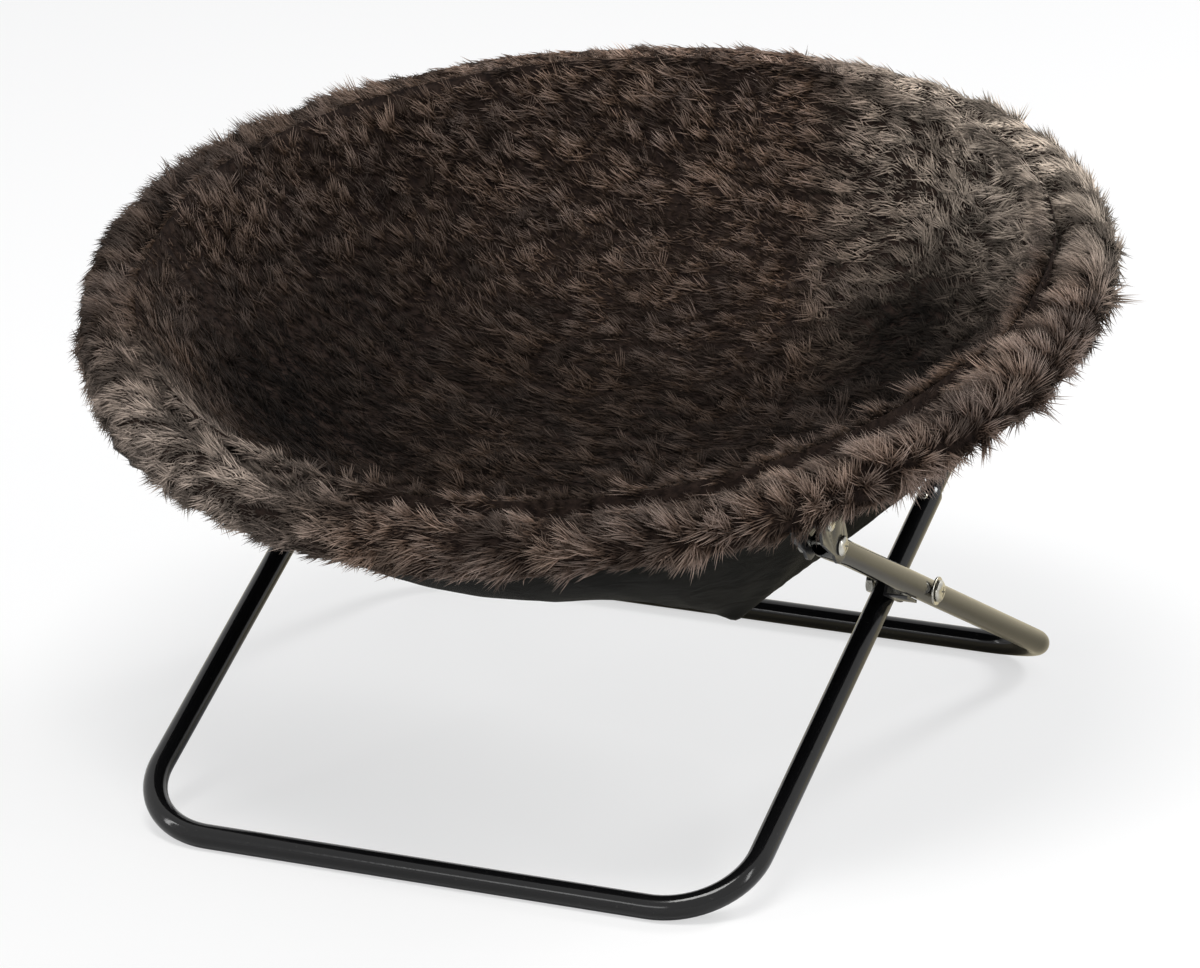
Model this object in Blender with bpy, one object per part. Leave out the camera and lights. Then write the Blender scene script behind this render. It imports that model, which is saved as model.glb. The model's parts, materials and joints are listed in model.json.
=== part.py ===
"""Folding cat lounger: a padded plush saucer seat on two crossed tube legs.

The seat hangs in a round hoop made of two half rings that are hinged at the
left and right.  The front leg and the rear leg are bent tubes that cross and
are bolted together; their upper ends are pinned to brackets under the hoop.
The hoop folds upward like a closing shell and the legs close with it.
Metres, +Z up, +X to the right along the floor bars, +Y to the back.
"""
import math

import bmesh
import bpy
from mathutils import Matrix, Vector

for old in list(bpy.data.objects):
    bpy.data.objects.remove(old, do_unlink=True)

# Tubes
tube_dia = 0.0127            # legs and hoop
tube_wall = 0.0007
tube_sides = 12

# Clearances
gap = 0.0003                 # between pieces that touch or turn in each other
overrun = 0.004              # how far a cutter runs past what it cuts

# Legs
leg_inset = 0.0885           # from the hoop's widest place in to the front leg's arms
spacer_length = 0.0044       # between the stop plate and the rear leg's tube, which runs outside
foot_reach = 0.2154          # floor bar to the cross bolts, along Y
cross_height = 0.1116        # cross bolts above the floor
corner_radius = 0.0445       # bend between arm and floor bar
corner_steps = 6
tube_past_cross = 0.0693     # cross bolt to the open end of the front leg's tube
front_pin_run = 0.1590       # cross bolt to the front bracket's bolt, along the arm
tube_end_past_pin = 0.0062
extension_overlap = 0.0450   # how far the thin tube sits in the leg tube
extension_straight = 0.1270  # cross bolt to the start of the thin tube's bend
extension_bend_radius = 0.0508
extension_steps = 6

# Hoop
hoop_radius = 0.2540         # to the middle of the tube
hoop_centre_back = 0.0315    # hoop's centre behind the hinge axis
front_tilt = math.radians(16.4)
rear_tilt = math.radians(10.0)
hoop_steps = 22
front_end_past_pin = 0.0070
hinge_slack = 0.0035         # from the front tube's end to the rear tube's end

# Hinge channels
channel_plate = 0.0015
channel_half_height = 0.0058
channel_front = 0.0068       # ahead of the hinge pin
channel_back = 0.0290        # behind the hinge pin
channel_rivet_back = 0.0215
channel_floor_back = 0.0103  # the floor starts behind the front tube's end, which swings through
channel_sweep = 0.0100       # furthest along the front tube that a cheek can be beside it in the fold
hinge_pin_radius = 0.0024
hinge_head_radius = 0.0044
hinge_head_thick = 0.0011

# Brackets under the hoop
bracket_plate = 0.0015
bracket_front = 0.0110       # ahead of the hoop tube's middle
bracket_back = 0.0172        # behind it
bracket_shoulder = 0.0178    # from the tube's middle down to the shoulder
bracket_toe_radius = 0.0092
front_pin_drop = 0.0323      # from the hoop tube's middle down to the leg's pin
front_pin_inset = 0.0105     # the pins lie inside the hoop by this much, in its plane
rear_pin_drop = 0.0292
rear_pin_inset = 0.0102
rear_bracket_back = 0.0120
cross_bolt_drop = 0.0125
screw_radius = 0.0020
screw_head_radius = 0.0042
cross_head_radius = 0.0038
screw_head_thick = 0.0016

# Bolts and nuts
bolt_radius = 0.0025
bolt_head_radius = 0.0062
bolt_head_thick = 0.0026
washer_radius = 0.0075
washer_thick = 0.0010
nut_radius = 0.0052
nut_thick = 0.0040
bolt_end = 0.0012            # thread that stands out of the nut
rivet_radius = 0.0014
rivet_head_radius = 0.0019
rivet_head_thick = 0.0012
rivet_from_end = 0.0095      # rivet to the leg tube's open end
round_sides = 12

# Stop plates at the cross bolts
stop_plate = 0.0016
stop_reach = 0.0240          # along the rear leg's arm, from the cross bolt
stop_start = 0.0080

# Padded seat
roll_radius = 0.0187         # padded rim round the hoop
roll_bore_slack = 0.0008     # between the hoop tube and the padded rim
roll_past_hinge = 0.0120     # the rim is swept past the hinge plane, then cut off in it
roll_sides = 12
roll_steps = 24
seat_depth = 0.1143          # underside of the pad below the hoop's plane
seat_flat_past = 0.0073      # from the pad's edge out to where the underside meets the hoop's plane
seat_power = 4.0
seat_turn_run = 0.0900       # over which the drop turns square to the half's plane
pad_thick = 0.0145
pad_crown = 0.0060           # extra thickness half way up the side
pad_edge_rise = 0.0060       # top edge of the pad against the hoop's plane
seat_arc_steps = 24          # the pad and the cloth share one grid, so they never cross
seat_ring_steps = 10

# Cloth under the seat
cloth_thick = 0.0011
cloth_edge_drop = 0.0060     # between pad and cloth at the rim
tip_x = 0.1050               # lowest hanging corner of the cloth
tip_y = -0.0680              # from the hinge axis, in the front half's plane
tip_sag = 0.0340
tip_reach = 0.0900
fold_height = 0.0028
fold_reach = 0.0800
fold_count = 5
left_sag = 0.0050
left_reach = 0.1000
left_x = -0.0850
left_y = -0.1000

# Outlines of heads, as shares of the head's height and radius from the top down
pan_head_shares = ((1, 0.35), (0.75, 0.85), (0.3, 1), (0, 1))
bolt_head_shares = ((1, 0.45), (0.8, 0.8), (0.35, 1), (0, 1))
screw_head_shares = ((1, 0.65), (0.5, 1), (0, 1))
rivet_head_shares = ((1, 0.4), (0.7, 0.8), (0, 1))
stub_share = 0.4             # how deep a stub goes, as a share of the room or of the tube's radius
spacer_share = 0.8           # of the tube's radius

tube_r = tube_dia / 2
foot_z = tube_r
arm_angle = math.atan2(cross_height - foot_z, foot_reach)
extension_r = tube_r - tube_wall - gap
bore_r = bolt_radius + gap
foot_to_cross = math.hypot(foot_reach, cross_height - foot_z)
lower_tube_run = foot_to_cross + tube_past_cross
front_leg_half_width = hoop_radius - leg_inset
stop_plate_low = front_leg_half_width + tube_r + gap
rear_leg_half_width = stop_plate_low + stop_plate + gap + spacer_length + gap + tube_r

X_AXIS = Vector((1, 0, 0))


def material(name, colour, rough, metal):
    mat = bpy.data.materials.new(name)
    mat.use_nodes = True
    shader = mat.node_tree.nodes["Principled BSDF"]
    shader.inputs["Base Color"].default_value = (*colour, 1)
    shader.inputs["Roughness"].default_value = rough
    shader.inputs["Metallic"].default_value = metal
    return mat


BLACK = material("gloss_black_paint", (0.012, 0.012, 0.012), 0.18, 0.0)
ZINC = material("zinc_plate", (0.55, 0.55, 0.53), 0.32, 1.0)
DARK_STEEL = material("dark_bracket_paint", (0.02, 0.02, 0.02), 0.35, 0.0)
PLUSH = material("brown_plush", (0.10, 0.075, 0.062), 0.95, 0.0)
PLUSH_SEAT = material("brown_plush_seat", (0.085, 0.064, 0.053), 0.95, 0.0)
CLOTH = material("black_cloth", (0.012, 0.012, 0.013), 0.55, 0.0)


def place_of(holder):
    return Vector(holder["place"][:])


def make(name, mesh, holder, mat, origin=None, smooth=40):
    """Turn a mesh given in model coordinates into an object under its body's empty."""
    home = place_of(holder)
    origin = home if origin is None else Vector(origin)
    mesh.transform(Matrix.Translation(-origin))
    obj = bpy.data.objects.new(name, mesh)
    bpy.context.collection.objects.link(obj)
    obj.parent = holder
    obj.location = origin - home
    if mat is not None:
        mesh.materials.append(mat)
        mesh.shade_smooth()
        mesh.set_sharp_from_angle(angle=math.radians(smooth))
    return obj


def cutter(name, mesh, holder):
    obj = make(name, mesh, holder, None)
    obj.hide_render = True
    obj.display_type = "WIRE"
    return obj


def cut(obj, tool):
    mod = obj.modifiers.new("cut_" + tool.name, "BOOLEAN")
    mod.operation = "DIFFERENCE"
    mod.solver = "EXACT"
    mod.object = tool


def finish_mesh(name, bm):
    bmesh.ops.recalc_face_normals(bm, faces=bm.faces)
    if bm.calc_volume(signed=True) < 0:
        bmesh.ops.reverse_faces(bm, faces=bm.faces)
    mesh = bpy.data.meshes.new(name)
    bm.to_mesh(mesh)
    bm.free()
    return mesh


def cylinder(name, start, end, radius, sides=round_sides, turn=0.0, flats=True):
    """A closed cylinder between two places; radius reaches the flats."""
    start, end = Vector(start), Vector(end)
    along = end - start
    bm = bmesh.new()
    reach = radius / math.cos(math.pi / sides) if flats else radius
    bmesh.ops.create_cone(bm, cap_ends=True, segments=sides, radius1=reach, radius2=reach,
                          depth=along.length)
    bmesh.ops.rotate(bm, verts=bm.verts, matrix=Matrix.Rotation(turn, 3, "Z"))
    spin = Vector((0, 0, 1)).rotation_difference(along.normalized()).to_matrix()
    bmesh.ops.rotate(bm, verts=bm.verts, matrix=spin)
    bmesh.ops.translate(bm, verts=bm.verts, vec=(start + end) / 2)
    return finish_mesh(name, bm)


def turned(name, base, axis, outline, sides=round_sides):
    """A closed turned piece: outline is (distance along the axis, radius) from end to end."""
    base, axis = Vector(base), Vector(axis).normalized()
    side = axis.orthogonal().normalized()
    other = axis.cross(side)
    bm = bmesh.new()
    rings = []
    for run, radius in outline:
        middle = base + axis * run
        if radius == 0:
            rings.append([bm.verts.new(middle)])
            continue
        reach = radius / math.cos(math.pi / sides)
        ring = []
        for k in range(sides):
            a = 2 * math.pi * (k + 0.5) / sides
            ring.append(bm.verts.new(middle + (side * math.cos(a) + other * math.sin(a)) * reach))
        rings.append(ring)
    for low, high in zip(rings, rings[1:]):
        for k in range(sides):
            m = (k + 1) % sides
            if len(low) == 1:
                bm.faces.new((low[0], high[k], high[m]))
            elif len(high) == 1:
                bm.faces.new((low[k], low[m], high[0]))
            else:
                bm.faces.new((low[k], low[m], high[m], high[k]))
    for ring in (rings[0], rings[-1]):
        if len(ring) > 1:
            bm.faces.new(ring)
    return finish_mesh(name, bm)


def head(shares, thick, radius):
    """Top part of a turned outline: a head that stands up from zero, against the axis."""
    return [(-thick * rise, radius * out) for rise, out in shares]


def foot(shares, base, thick, radius):
    """The same head turned over at the far end of a turned outline."""
    return [(base + thick * rise, radius * out) for rise, out in reversed(shares)]


def prism(name, outline, low_x, high_x):
    """An outline of (y, z) places, extruded along X."""
    bm = bmesh.new()
    low = [bm.verts.new((low_x, y, z)) for y, z in outline]
    face = bm.faces.new(low)
    grown = bmesh.ops.extrude_face_region(bm, geom=[face])
    moved = [v for v in grown["geom"] if isinstance(v, bmesh.types.BMVert)]
    bmesh.ops.translate(bm, verts=moved, vec=(high_x - low_x, 0, 0))
    return finish_mesh(name, bm)


def circle_profile(radius, sides, turn=0.0):
    reach = radius / math.cos(math.pi / sides)
    return [(reach * math.cos(turn + 2 * math.pi * (k + 0.5) / sides),
             reach * math.sin(turn + 2 * math.pi * (k + 0.5) / sides)) for k in range(sides)]


def sweep(name, path, normal, outer, inner=None):
    """Sweep a profile along a flat path; with an inner profile the sweep is an open tube."""
    bm = bmesh.new()
    count = len(path)
    shells = [[] for _ in range(2 if inner else 1)]
    for i, point in enumerate(path):
        ahead = path[min(i + 1, count - 1)] - point
        behind = point - path[max(i - 1, 0)]
        if ahead.length == 0:
            ahead = behind
        if behind.length == 0:
            behind = ahead
        tangent = (ahead.normalized() + behind.normalized()).normalized()
        stretch = 1 / max(tangent.dot(ahead.normalized()), 0.5)
        side = normal.cross(tangent).normalized()
        for shell, profile in zip(shells, (outer, inner)):
            shell.append([bm.verts.new(point + side * (u * stretch) + normal * v) for u, v in profile])
    for shell in shells:
        for low, high in zip(shell, shell[1:]):
            size = len(low)
            for k in range(size):
                m = (k + 1) % size
                bm.faces.new((low[k], low[m], high[m], high[k]))
    for end in (0, -1):
        if inner:
            out_ring, in_ring = shells[0][end], shells[1][end]
            size = len(out_ring)
            for k in range(size):
                m = (k + 1) % size
                bm.faces.new((out_ring[k], out_ring[m], in_ring[m], in_ring[k]))
        else:
            bm.faces.new(shells[0][end])
    return finish_mesh(name, bm)


def arc(centre, radius, start, end, steps):
    return [(centre[0] + radius * math.cos(start + (end - start) * k / steps),
             centre[1] + radius * math.sin(start + (end - start) * k / steps))
            for k in range(steps + 1)]


# Places worked out from the sizes; Y is counted from the cross bolts.
front_leg_dir = Vector((0, math.cos(arm_angle), math.sin(arm_angle)))
rear_leg_dir = Vector((0, -math.cos(arm_angle), math.sin(arm_angle)))
front_leg_up = Vector((0, -math.sin(arm_angle), math.cos(arm_angle)))
rear_leg_up = Vector((0, math.sin(arm_angle), math.cos(arm_angle)))
front_foot = Vector((0, -foot_reach, foot_z))
rear_foot = Vector((0, foot_reach, foot_z))
cross = Vector((0, 0, cross_height))
front_pin = cross + rear_leg_dir * front_pin_run


def plane_dirs(tilt):
    """Along the half hoop's plane to the back, and down from it."""
    return Vector((0, math.cos(tilt), math.sin(tilt))), Vector((0, math.sin(tilt), -math.cos(tilt)))


def hoop_along(x, front):
    """How far behind the hinge axis the hoop tube's middle is, at this distance to the side."""
    reach = math.sqrt(max(hoop_radius ** 2 - x ** 2, 0))
    return hoop_centre_back - reach if front else hoop_centre_back + reach


front_along, front_down = plane_dirs(front_tilt)
rear_along, rear_down = plane_dirs(rear_tilt)
hinge_from_pin = front_along * (front_pin_inset + hoop_along(rear_leg_half_width, True))
hinge = front_pin - hinge_from_pin - front_down * front_pin_drop


def in_plane(x, along, rise, front):
    """A place given by x, the distance behind the hinge axis in the plane, and the rise over it."""
    direction, down = (front_along, front_down) if front else (rear_along, rear_down)
    return Vector((x, 0, 0)) + hinge + direction * along - down * rise


hinge_x = math.sqrt(hoop_radius ** 2 - hoop_centre_back ** 2)
front_hoop_point = in_plane(0, hoop_along(rear_leg_half_width, True), 0, True)
rear_hoop_point = in_plane(0, hoop_along(front_leg_half_width, False), 0, False)
rear_pin = rear_hoop_point - rear_along * rear_pin_inset + rear_down * rear_pin_drop


def hoop_angle(along):
    """Angle on the hoop, right-hand side, where it is this far behind the hinge axis."""
    return math.asin((along - hoop_centre_back) / hoop_radius)


def hoop_path(front, first, last, steps):
    """Half hoop from right to left between two distances behind the hinge axis."""
    a = hoop_angle(first)
    b = hoop_angle(last)
    start, end = (a, -math.pi - b) if front else (a, math.pi - b)
    flat = arc((0, hoop_centre_back), hoop_radius, start, end, steps)
    return [in_plane(x, along, 0, front) for x, along in flat]


# How far the hinge channels reach from the tube's middle
channel_floor_top = tube_r / math.cos(math.pi / tube_sides) + gap
channel_depth = channel_floor_top + channel_plate
chord_slack = hoop_radius * (1 - math.cos(math.pi / hoop_steps / 2))
skew_r = tube_r / math.cos(math.pi / tube_sides) / math.cos(hoop_angle(-channel_sweep))
cheek_in = hinge_x - hoop_radius * math.cos(hoop_angle(-channel_sweep)) + chord_slack + skew_r + gap
cheek_out = hoop_radius - hinge_x + skew_r + gap
roll_bore = tube_r / math.cos(math.pi / tube_sides) + chord_slack + roll_bore_slack


def roll_mesh(front):
    """Padded rim: a soft tube round the hoop, cut off later in the hinge plane."""
    first = roll_past_hinge if front else -roll_past_hinge
    path = hoop_path(front, first, first, roll_steps)
    normal = -front_down if front else -rear_down
    outer = circle_profile(roll_radius, roll_sides)
    bore = circle_profile(roll_bore, roll_sides)
    name = "rim_roll_front" if front else "rim_roll_rear"
    return sweep(name, path, normal, outer, bore)


roll_front = roll_mesh(True)
roll_rear = roll_mesh(False)
front_edge = min(v.co.y for v in roll_front.vertices)
rear_edge = max(v.co.y for v in roll_rear.vertices)
middle_y = (front_edge + rear_edge) / 2

# One empty for each rigid body.  The root's Y shift puts the object's middle over the origin.
root = bpy.data.objects.new("lounger", None)
bpy.context.collection.objects.link(root)
root.location = (0, -middle_y, 0)
root["place"] = Vector((0, 0, 0))


def body_empty(name, place, parent):
    obj = bpy.data.objects.new(name, None)
    bpy.context.collection.objects.link(obj)
    obj.parent = parent
    obj.location = place - place_of(parent)
    obj["place"] = place
    return obj


rear_half = body_empty("rear_half_body", hinge, root)
front_half = body_empty("front_half_body", hinge, rear_half)
rear_leg = body_empty("rear_leg_body", front_pin, front_half)
front_leg = body_empty("front_leg_body", cross, rear_leg)

SIDES = (("left", -1), ("right", 1))


def leg_path(foot, direction, half_width, left_run, right_run):
    """A bent leg from one arm's end, over the floor bar, to the other arm's end."""
    bend = corner_radius
    flat = [(-half_width, left_run)]
    flat += arc((-half_width + bend, bend), bend, math.pi, 1.5 * math.pi, corner_steps)
    flat += arc((half_width - bend, bend), bend, -0.5 * math.pi, 0, corner_steps)
    flat += [(half_width, right_run)]
    return [foot + X_AXIS * x + direction * run for x, run in flat]


def tube(name, path, normal, radius, wall, turn, holder, mat=BLACK, sides=tube_sides):
    outer = circle_profile(radius, sides, turn)
    bore = circle_profile(radius - wall, sides, turn)
    return make(name, sweep(name, path, normal, outer, bore), holder, mat)


# Legs.  The profiles are turned so that one flat of the floor bars lies on the floor.
rear_arm_run = foot_to_cross + front_pin_run + tube_end_past_pin
front_tube = tube("front_leg_tube",
                  leg_path(front_foot, front_leg_dir, front_leg_half_width, lower_tube_run, lower_tube_run),
                  front_leg_up, tube_r, tube_wall, -arm_angle, front_leg)
rear_tube = tube("rear_leg_tube",
                 leg_path(rear_foot, rear_leg_dir, rear_leg_half_width, rear_arm_run, rear_arm_run),
                 rear_leg_up, tube_r, tube_wall, arm_angle, rear_leg)


def extension_route():
    """The thin tube: straight in line with the arm, then bent up to the rear bracket's pin."""
    start = front_foot + front_leg_dir * (lower_tube_run - extension_overlap)
    bend_at = front_foot + front_leg_dir * (foot_to_cross + extension_straight)
    middle = bend_at + front_leg_up * extension_bend_radius
    reach = rear_pin - middle
    toward = math.atan2(reach.z, reach.y)
    lead = math.acos(min(extension_bend_radius / reach.length, 1))
    first = arm_angle - 0.5 * math.pi
    last = toward - lead
    bend = arc((middle.y, middle.z), extension_bend_radius, first, last, extension_steps)
    leave = Vector((0, -math.sin(last), math.cos(last)))
    end = rear_pin + leave * tube_end_past_pin
    return [start] + [Vector((0, y, z)) for y, z in bend] + [end]


extension_flat = extension_route()
extensions = {}
for side, sign in SIDES:
    path = [p + X_AXIS * (sign * front_leg_half_width) for p in extension_flat]
    extensions[side] = tube("leg_extension_" + side, path, X_AXIS, extension_r, tube_wall, 0.0, front_leg)

# Hoop halves
front_hoop = tube("front_half_hoop", hoop_path(True, front_end_past_pin, front_end_past_pin, hoop_steps),
                  -front_down, tube_r, tube_wall, 0.0, front_half)
rear_start = front_end_past_pin + hinge_slack
rear_hoop = tube("rear_half_hoop", hoop_path(False, rear_start, rear_start, hoop_steps),
                 -rear_down, tube_r, tube_wall, 0.0, rear_half)


def outline_in(points, base, along, down):
    """Places (along, down) from a base, as world (y, z)."""
    places = [base + along * a + down * d for a, d in points]
    return [(p.y, p.z) for p in places]


# Hinge channels: two cheeks and a floor under the tubes' ends; the floor is the stop of the hinge.
for side, sign in SIDES:
    base = hinge.copy()
    shape = [(-channel_front, -channel_half_height * 0.6), (-channel_front * 0.6, -channel_half_height),
             (channel_back, -channel_half_height), (channel_back, channel_depth),
             (-channel_front * 0.6, channel_depth), (-channel_front, channel_half_height * 0.6)]
    outline = outline_in(shape, base, rear_along, rear_down)
    inner_x = hinge_x - cheek_in
    outer_x = hinge_x + cheek_out
    lows = sorted((sign * (inner_x - channel_plate), sign * (outer_x + channel_plate)))
    channel = make("hinge_channel_" + side, prism("hinge_channel_" + side, outline, *lows), rear_half, ZINC,
                   origin=hinge + X_AXIS * (sign * hinge_x))
    # the slot for the rear tube lies along the rear plane, the front tube's needs its own slant below
    slot = [(-channel_front - overrun, -channel_half_height - overrun),
            (channel_back + overrun, -channel_half_height - overrun),
            (channel_back + overrun, channel_floor_top), (channel_floor_back, channel_floor_top),
            (channel_floor_back, channel_depth + overrun), (-channel_front - overrun, channel_depth + overrun)]
    span = sorted((sign * inner_x, sign * outer_x))
    cut(channel, cutter("channel_slot_" + side,
                        prism("channel_slot_" + side, outline_in(slot, base, rear_along, rear_down), *span),
                        rear_half))
    rivet_along = channel_rivet_back
    spots = ((hinge, "hinge_pin_"), (hinge + rear_along * rivet_along, "hinge_rivet_"))
    for spot, label in spots:
        low = spot + X_AXIS * (sign * (inner_x - channel_plate))
        length = outer_x - inner_x + 2 * channel_plate
        drill = cylinder("drill", low - X_AXIS * (sign * overrun), low + X_AXIS * (sign * (length + overrun)),
                         hinge_pin_radius + gap)
        tool = cutter(label + "drill_" + side, drill, rear_half)
        cut(channel, tool)
        cut(front_hoop if label == "hinge_pin_" else rear_hoop, tool)
        pin = turned(label + side, low, X_AXIS * sign,
                     foot(screw_head_shares, -gap, -hinge_head_thick, hinge_head_radius)[::-1]
                     + [(-gap, hinge_pin_radius), (length + gap, hinge_pin_radius)]
                     + foot(screw_head_shares, length + gap, hinge_head_thick, hinge_head_radius))
        make(label + side, pin, rear_half, ZINC, origin=spot + X_AXIS * (sign * hinge_x))

# Brackets under the hoop, with their screws and bolts
ear_in = tube_r / math.cos(math.pi / tube_sides) + gap
ear_out = ear_in + bracket_plate
web_top = tube_r / math.cos(math.pi / tube_sides) + gap


def bracket(label, side, sign, x_middle, hoop_point, pin, along, down, back, holder, front):
    """A channel: a web under the hoop tube and two ears that hold the leg's end."""
    rel = pin - hoop_point
    pin_along, pin_down = rel.dot(along), rel.dot(down)
    toe = []
    for k in range(9):
        a = math.pi * k / 8
        toe.append((pin_along + bracket_toe_radius * math.cos(a), pin_down + bracket_toe_radius * math.sin(a)))
    shape = [(-bracket_front, web_top), (back, web_top), (back, bracket_shoulder)] + toe
    shape += [(-bracket_front, bracket_shoulder)]
    base = hoop_point
    x0 = sign * x_middle
    name = label + "_bracket_" + side
    body = make(name, prism(name, outline_in(shape, base, along, down), x0 - ear_out, x0 + ear_out),
                holder, DARK_STEEL, origin=pin + X_AXIS * x0)
    slot_reach = pin_down + bracket_toe_radius + overrun
    slot = [(-bracket_front - overrun - bracket_toe_radius, web_top + bracket_plate),
            (back + overrun + bracket_toe_radius, web_top + bracket_plate),
            (back + overrun + bracket_toe_radius, slot_reach),
            (-bracket_front - overrun - bracket_toe_radius, slot_reach)]
    cut(body, cutter(name + "_slot", prism(name + "_slot", outline_in(slot, base, along, down),
                                           x0 - ear_in, x0 + ear_in), holder))
    drill = cutter(name + "_pin_drill",
                   cylinder("drill", pin + X_AXIS * (x0 - ear_out - overrun),
                            pin + X_AXIS * (x0 + ear_out + overrun), bore_r), holder)
    cut(body, drill)
    # screw up through the web into the hoop tube
    hoop = front_hoop if front else rear_hoop
    head_base = base + X_AXIS * x0 + down * (web_top + bracket_plate + gap)
    up = -down
    shank_run = bracket_plate + gap + gap + tube_wall + tube_r * stub_share
    hole = cutter(name + "_screw_drill",
                  cylinder("drill", head_base - up * overrun, head_base + up * (shank_run + gap),
                           screw_radius + gap), holder)
    cut(body, hole)
    cut(hoop, hole)
    screw = turned(label + "_bracket_screw_" + side, head_base, up,
                   head(screw_head_shares, screw_head_thick, screw_head_radius)
                   + [(0, screw_radius), (shank_run, screw_radius)])
    make(label + "_bracket_screw_" + side, screw, holder, ZINC, origin=head_base)
    return body, drill


def roll_pocket(name, x0, base, along, down, front_run, back_run, holder):
    """Opening in the padded rim's underside that a bracket passes through."""
    half = ear_out + screw_head_thick + 2 * gap + channel_plate
    low = max(roll_radius, bracket_shoulder) + overrun
    shape = [(-front_run, 0), (back_run, 0), (back_run, low), (-front_run, low)]
    return cutter(name, prism(name, outline_in(shape, base, along, down), x0 - half, x0 + half), holder)


def hinge_pocket(name, side_sign, holder):
    """Hollow in the padded rim round a hinge channel and its pins."""
    spare = hinge_head_thick + 3 * gap + channel_plate
    xs = sorted((side_sign * (hinge_x - cheek_in - spare), side_sign * (hinge_x + cheek_out + spare)))
    shape = [(-channel_front - 2 * gap, -channel_half_height - 2 * gap),
             (channel_back + 2 * gap, -channel_half_height - 2 * gap),
             (channel_back + 2 * gap, channel_depth + 2 * gap),
             (-channel_front - 2 * gap, channel_depth + 2 * gap)]
    return cutter(name, prism(name, outline_in(shape, hinge, rear_along, rear_down), *xs), holder)


pockets = {True: [], False: []}
for side, sign in SIDES:
    pockets[True].append(hinge_pocket("hinge_pocket_front_" + side, sign, front_half))
    pockets[False].append(hinge_pocket("hinge_pocket_rear_" + side, sign, rear_half))
for side, sign in SIDES:
    body, drill = bracket("front", side, sign, rear_leg_half_width, front_hoop_point, front_pin,
                          front_along, front_down, bracket_back, front_half, True)
    leg_drill = cutter("front_pin_leg_drill_" + side,
                       cylinder("drill", front_pin + X_AXIS * (sign * rear_leg_half_width - ear_out),
                                front_pin + X_AXIS * (sign * rear_leg_half_width + ear_out), bore_r), rear_leg)
    cut(rear_tube, leg_drill)
    # cross bolt through both ears, close under the hoop
    spot = front_hoop_point + front_down * cross_bolt_drop + X_AXIS * (sign * rear_leg_half_width)
    cross_drill = cutter("bracket_bolt_drill_" + side,
                         cylinder("drill", spot - X_AXIS * (ear_out + overrun),
                                  spot + X_AXIS * (ear_out + overrun), screw_radius + gap), front_half)
    cut(body, cross_drill)
    name = "bracket_cross_bolt_" + side
    across = 2 * ear_out + 2 * gap
    bolt = turned(name, spot - X_AXIS * (ear_out + gap), X_AXIS,
                  head(screw_head_shares, screw_head_thick, cross_head_radius)
                  + [(0, screw_radius), (across, screw_radius)]
                  + foot(screw_head_shares, across, screw_head_thick, cross_head_radius))
    make(name, bolt, front_half, ZINC, origin=spot)
    # pivot bolt with its nut on the inner ear
    out = X_AXIS * sign
    face = front_pin + X_AXIS * (sign * rear_leg_half_width) + out * (ear_out + gap)
    length = 2 * ear_out + 2 * gap + nut_thick + gap + bolt_end
    bolt = turned("front_pin_bolt_" + side, face, -out,
                  head(bolt_head_shares, bolt_head_thick, bolt_head_radius)
                  + [(0, bolt_radius), (length, bolt_radius)])
    make("front_pin_bolt_" + side, bolt, front_half, ZINC,
         origin=front_pin + X_AXIS * (sign * rear_leg_half_width))
    nut_face = face - out * (2 * ear_out + 2 * gap)
    nut = make("front_pin_nut_" + side,
               cylinder("nut", nut_face, nut_face - out * nut_thick, nut_radius, sides=6, turn=math.radians(12)),
               front_half, ZINC, origin=nut_face)
    cut(nut, cutter("front_nut_drill_" + side,
                    cylinder("drill", nut_face + out * overrun, nut_face - out * (nut_thick + overrun), bore_r),
                    front_half))
    pockets[True].append(roll_pocket("front_pocket_" + side, sign * rear_leg_half_width, front_hoop_point,
                                     front_along, front_down, bracket_front + 2 * gap, bracket_back + 2 * gap,
                                     front_half))

    body, drill = bracket("rear", side, sign, front_leg_half_width, rear_hoop_point, rear_pin,
                          rear_along, rear_down, rear_bracket_back, rear_half, False)
    leg_drill = cutter("rear_pin_leg_drill_" + side,
                       cylinder("drill", rear_pin + X_AXIS * (sign * front_leg_half_width - ear_out),
                                rear_pin + X_AXIS * (sign * front_leg_half_width + ear_out), bore_r), front_leg)
    cut(extensions[side], leg_drill)
    middle = rear_pin + X_AXIS * (sign * front_leg_half_width)
    for label, way in (("inner", -sign), ("outer", sign)):
        face = middle + X_AXIS * (way * (ear_out + gap))
        name = "rear_pin_rivet_" + label + "_" + side
        stub = bracket_plate + gap + (ear_in - extension_r) * stub_share
        rivet = turned(name, face, X_AXIS * -way,
                       head(screw_head_shares, screw_head_thick, screw_head_radius)
                       + [(0, bolt_radius), (stub, bolt_radius)])
        make(name, rivet, rear_half, ZINC, origin=face)
    pockets[False].append(roll_pocket("rear_pocket_" + side, sign * front_leg_half_width, rear_hoop_point,
                                      rear_along, rear_down, rear_pin_inset + bracket_toe_radius + overrun,
                                      rear_bracket_back + 2 * gap, rear_half))

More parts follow.
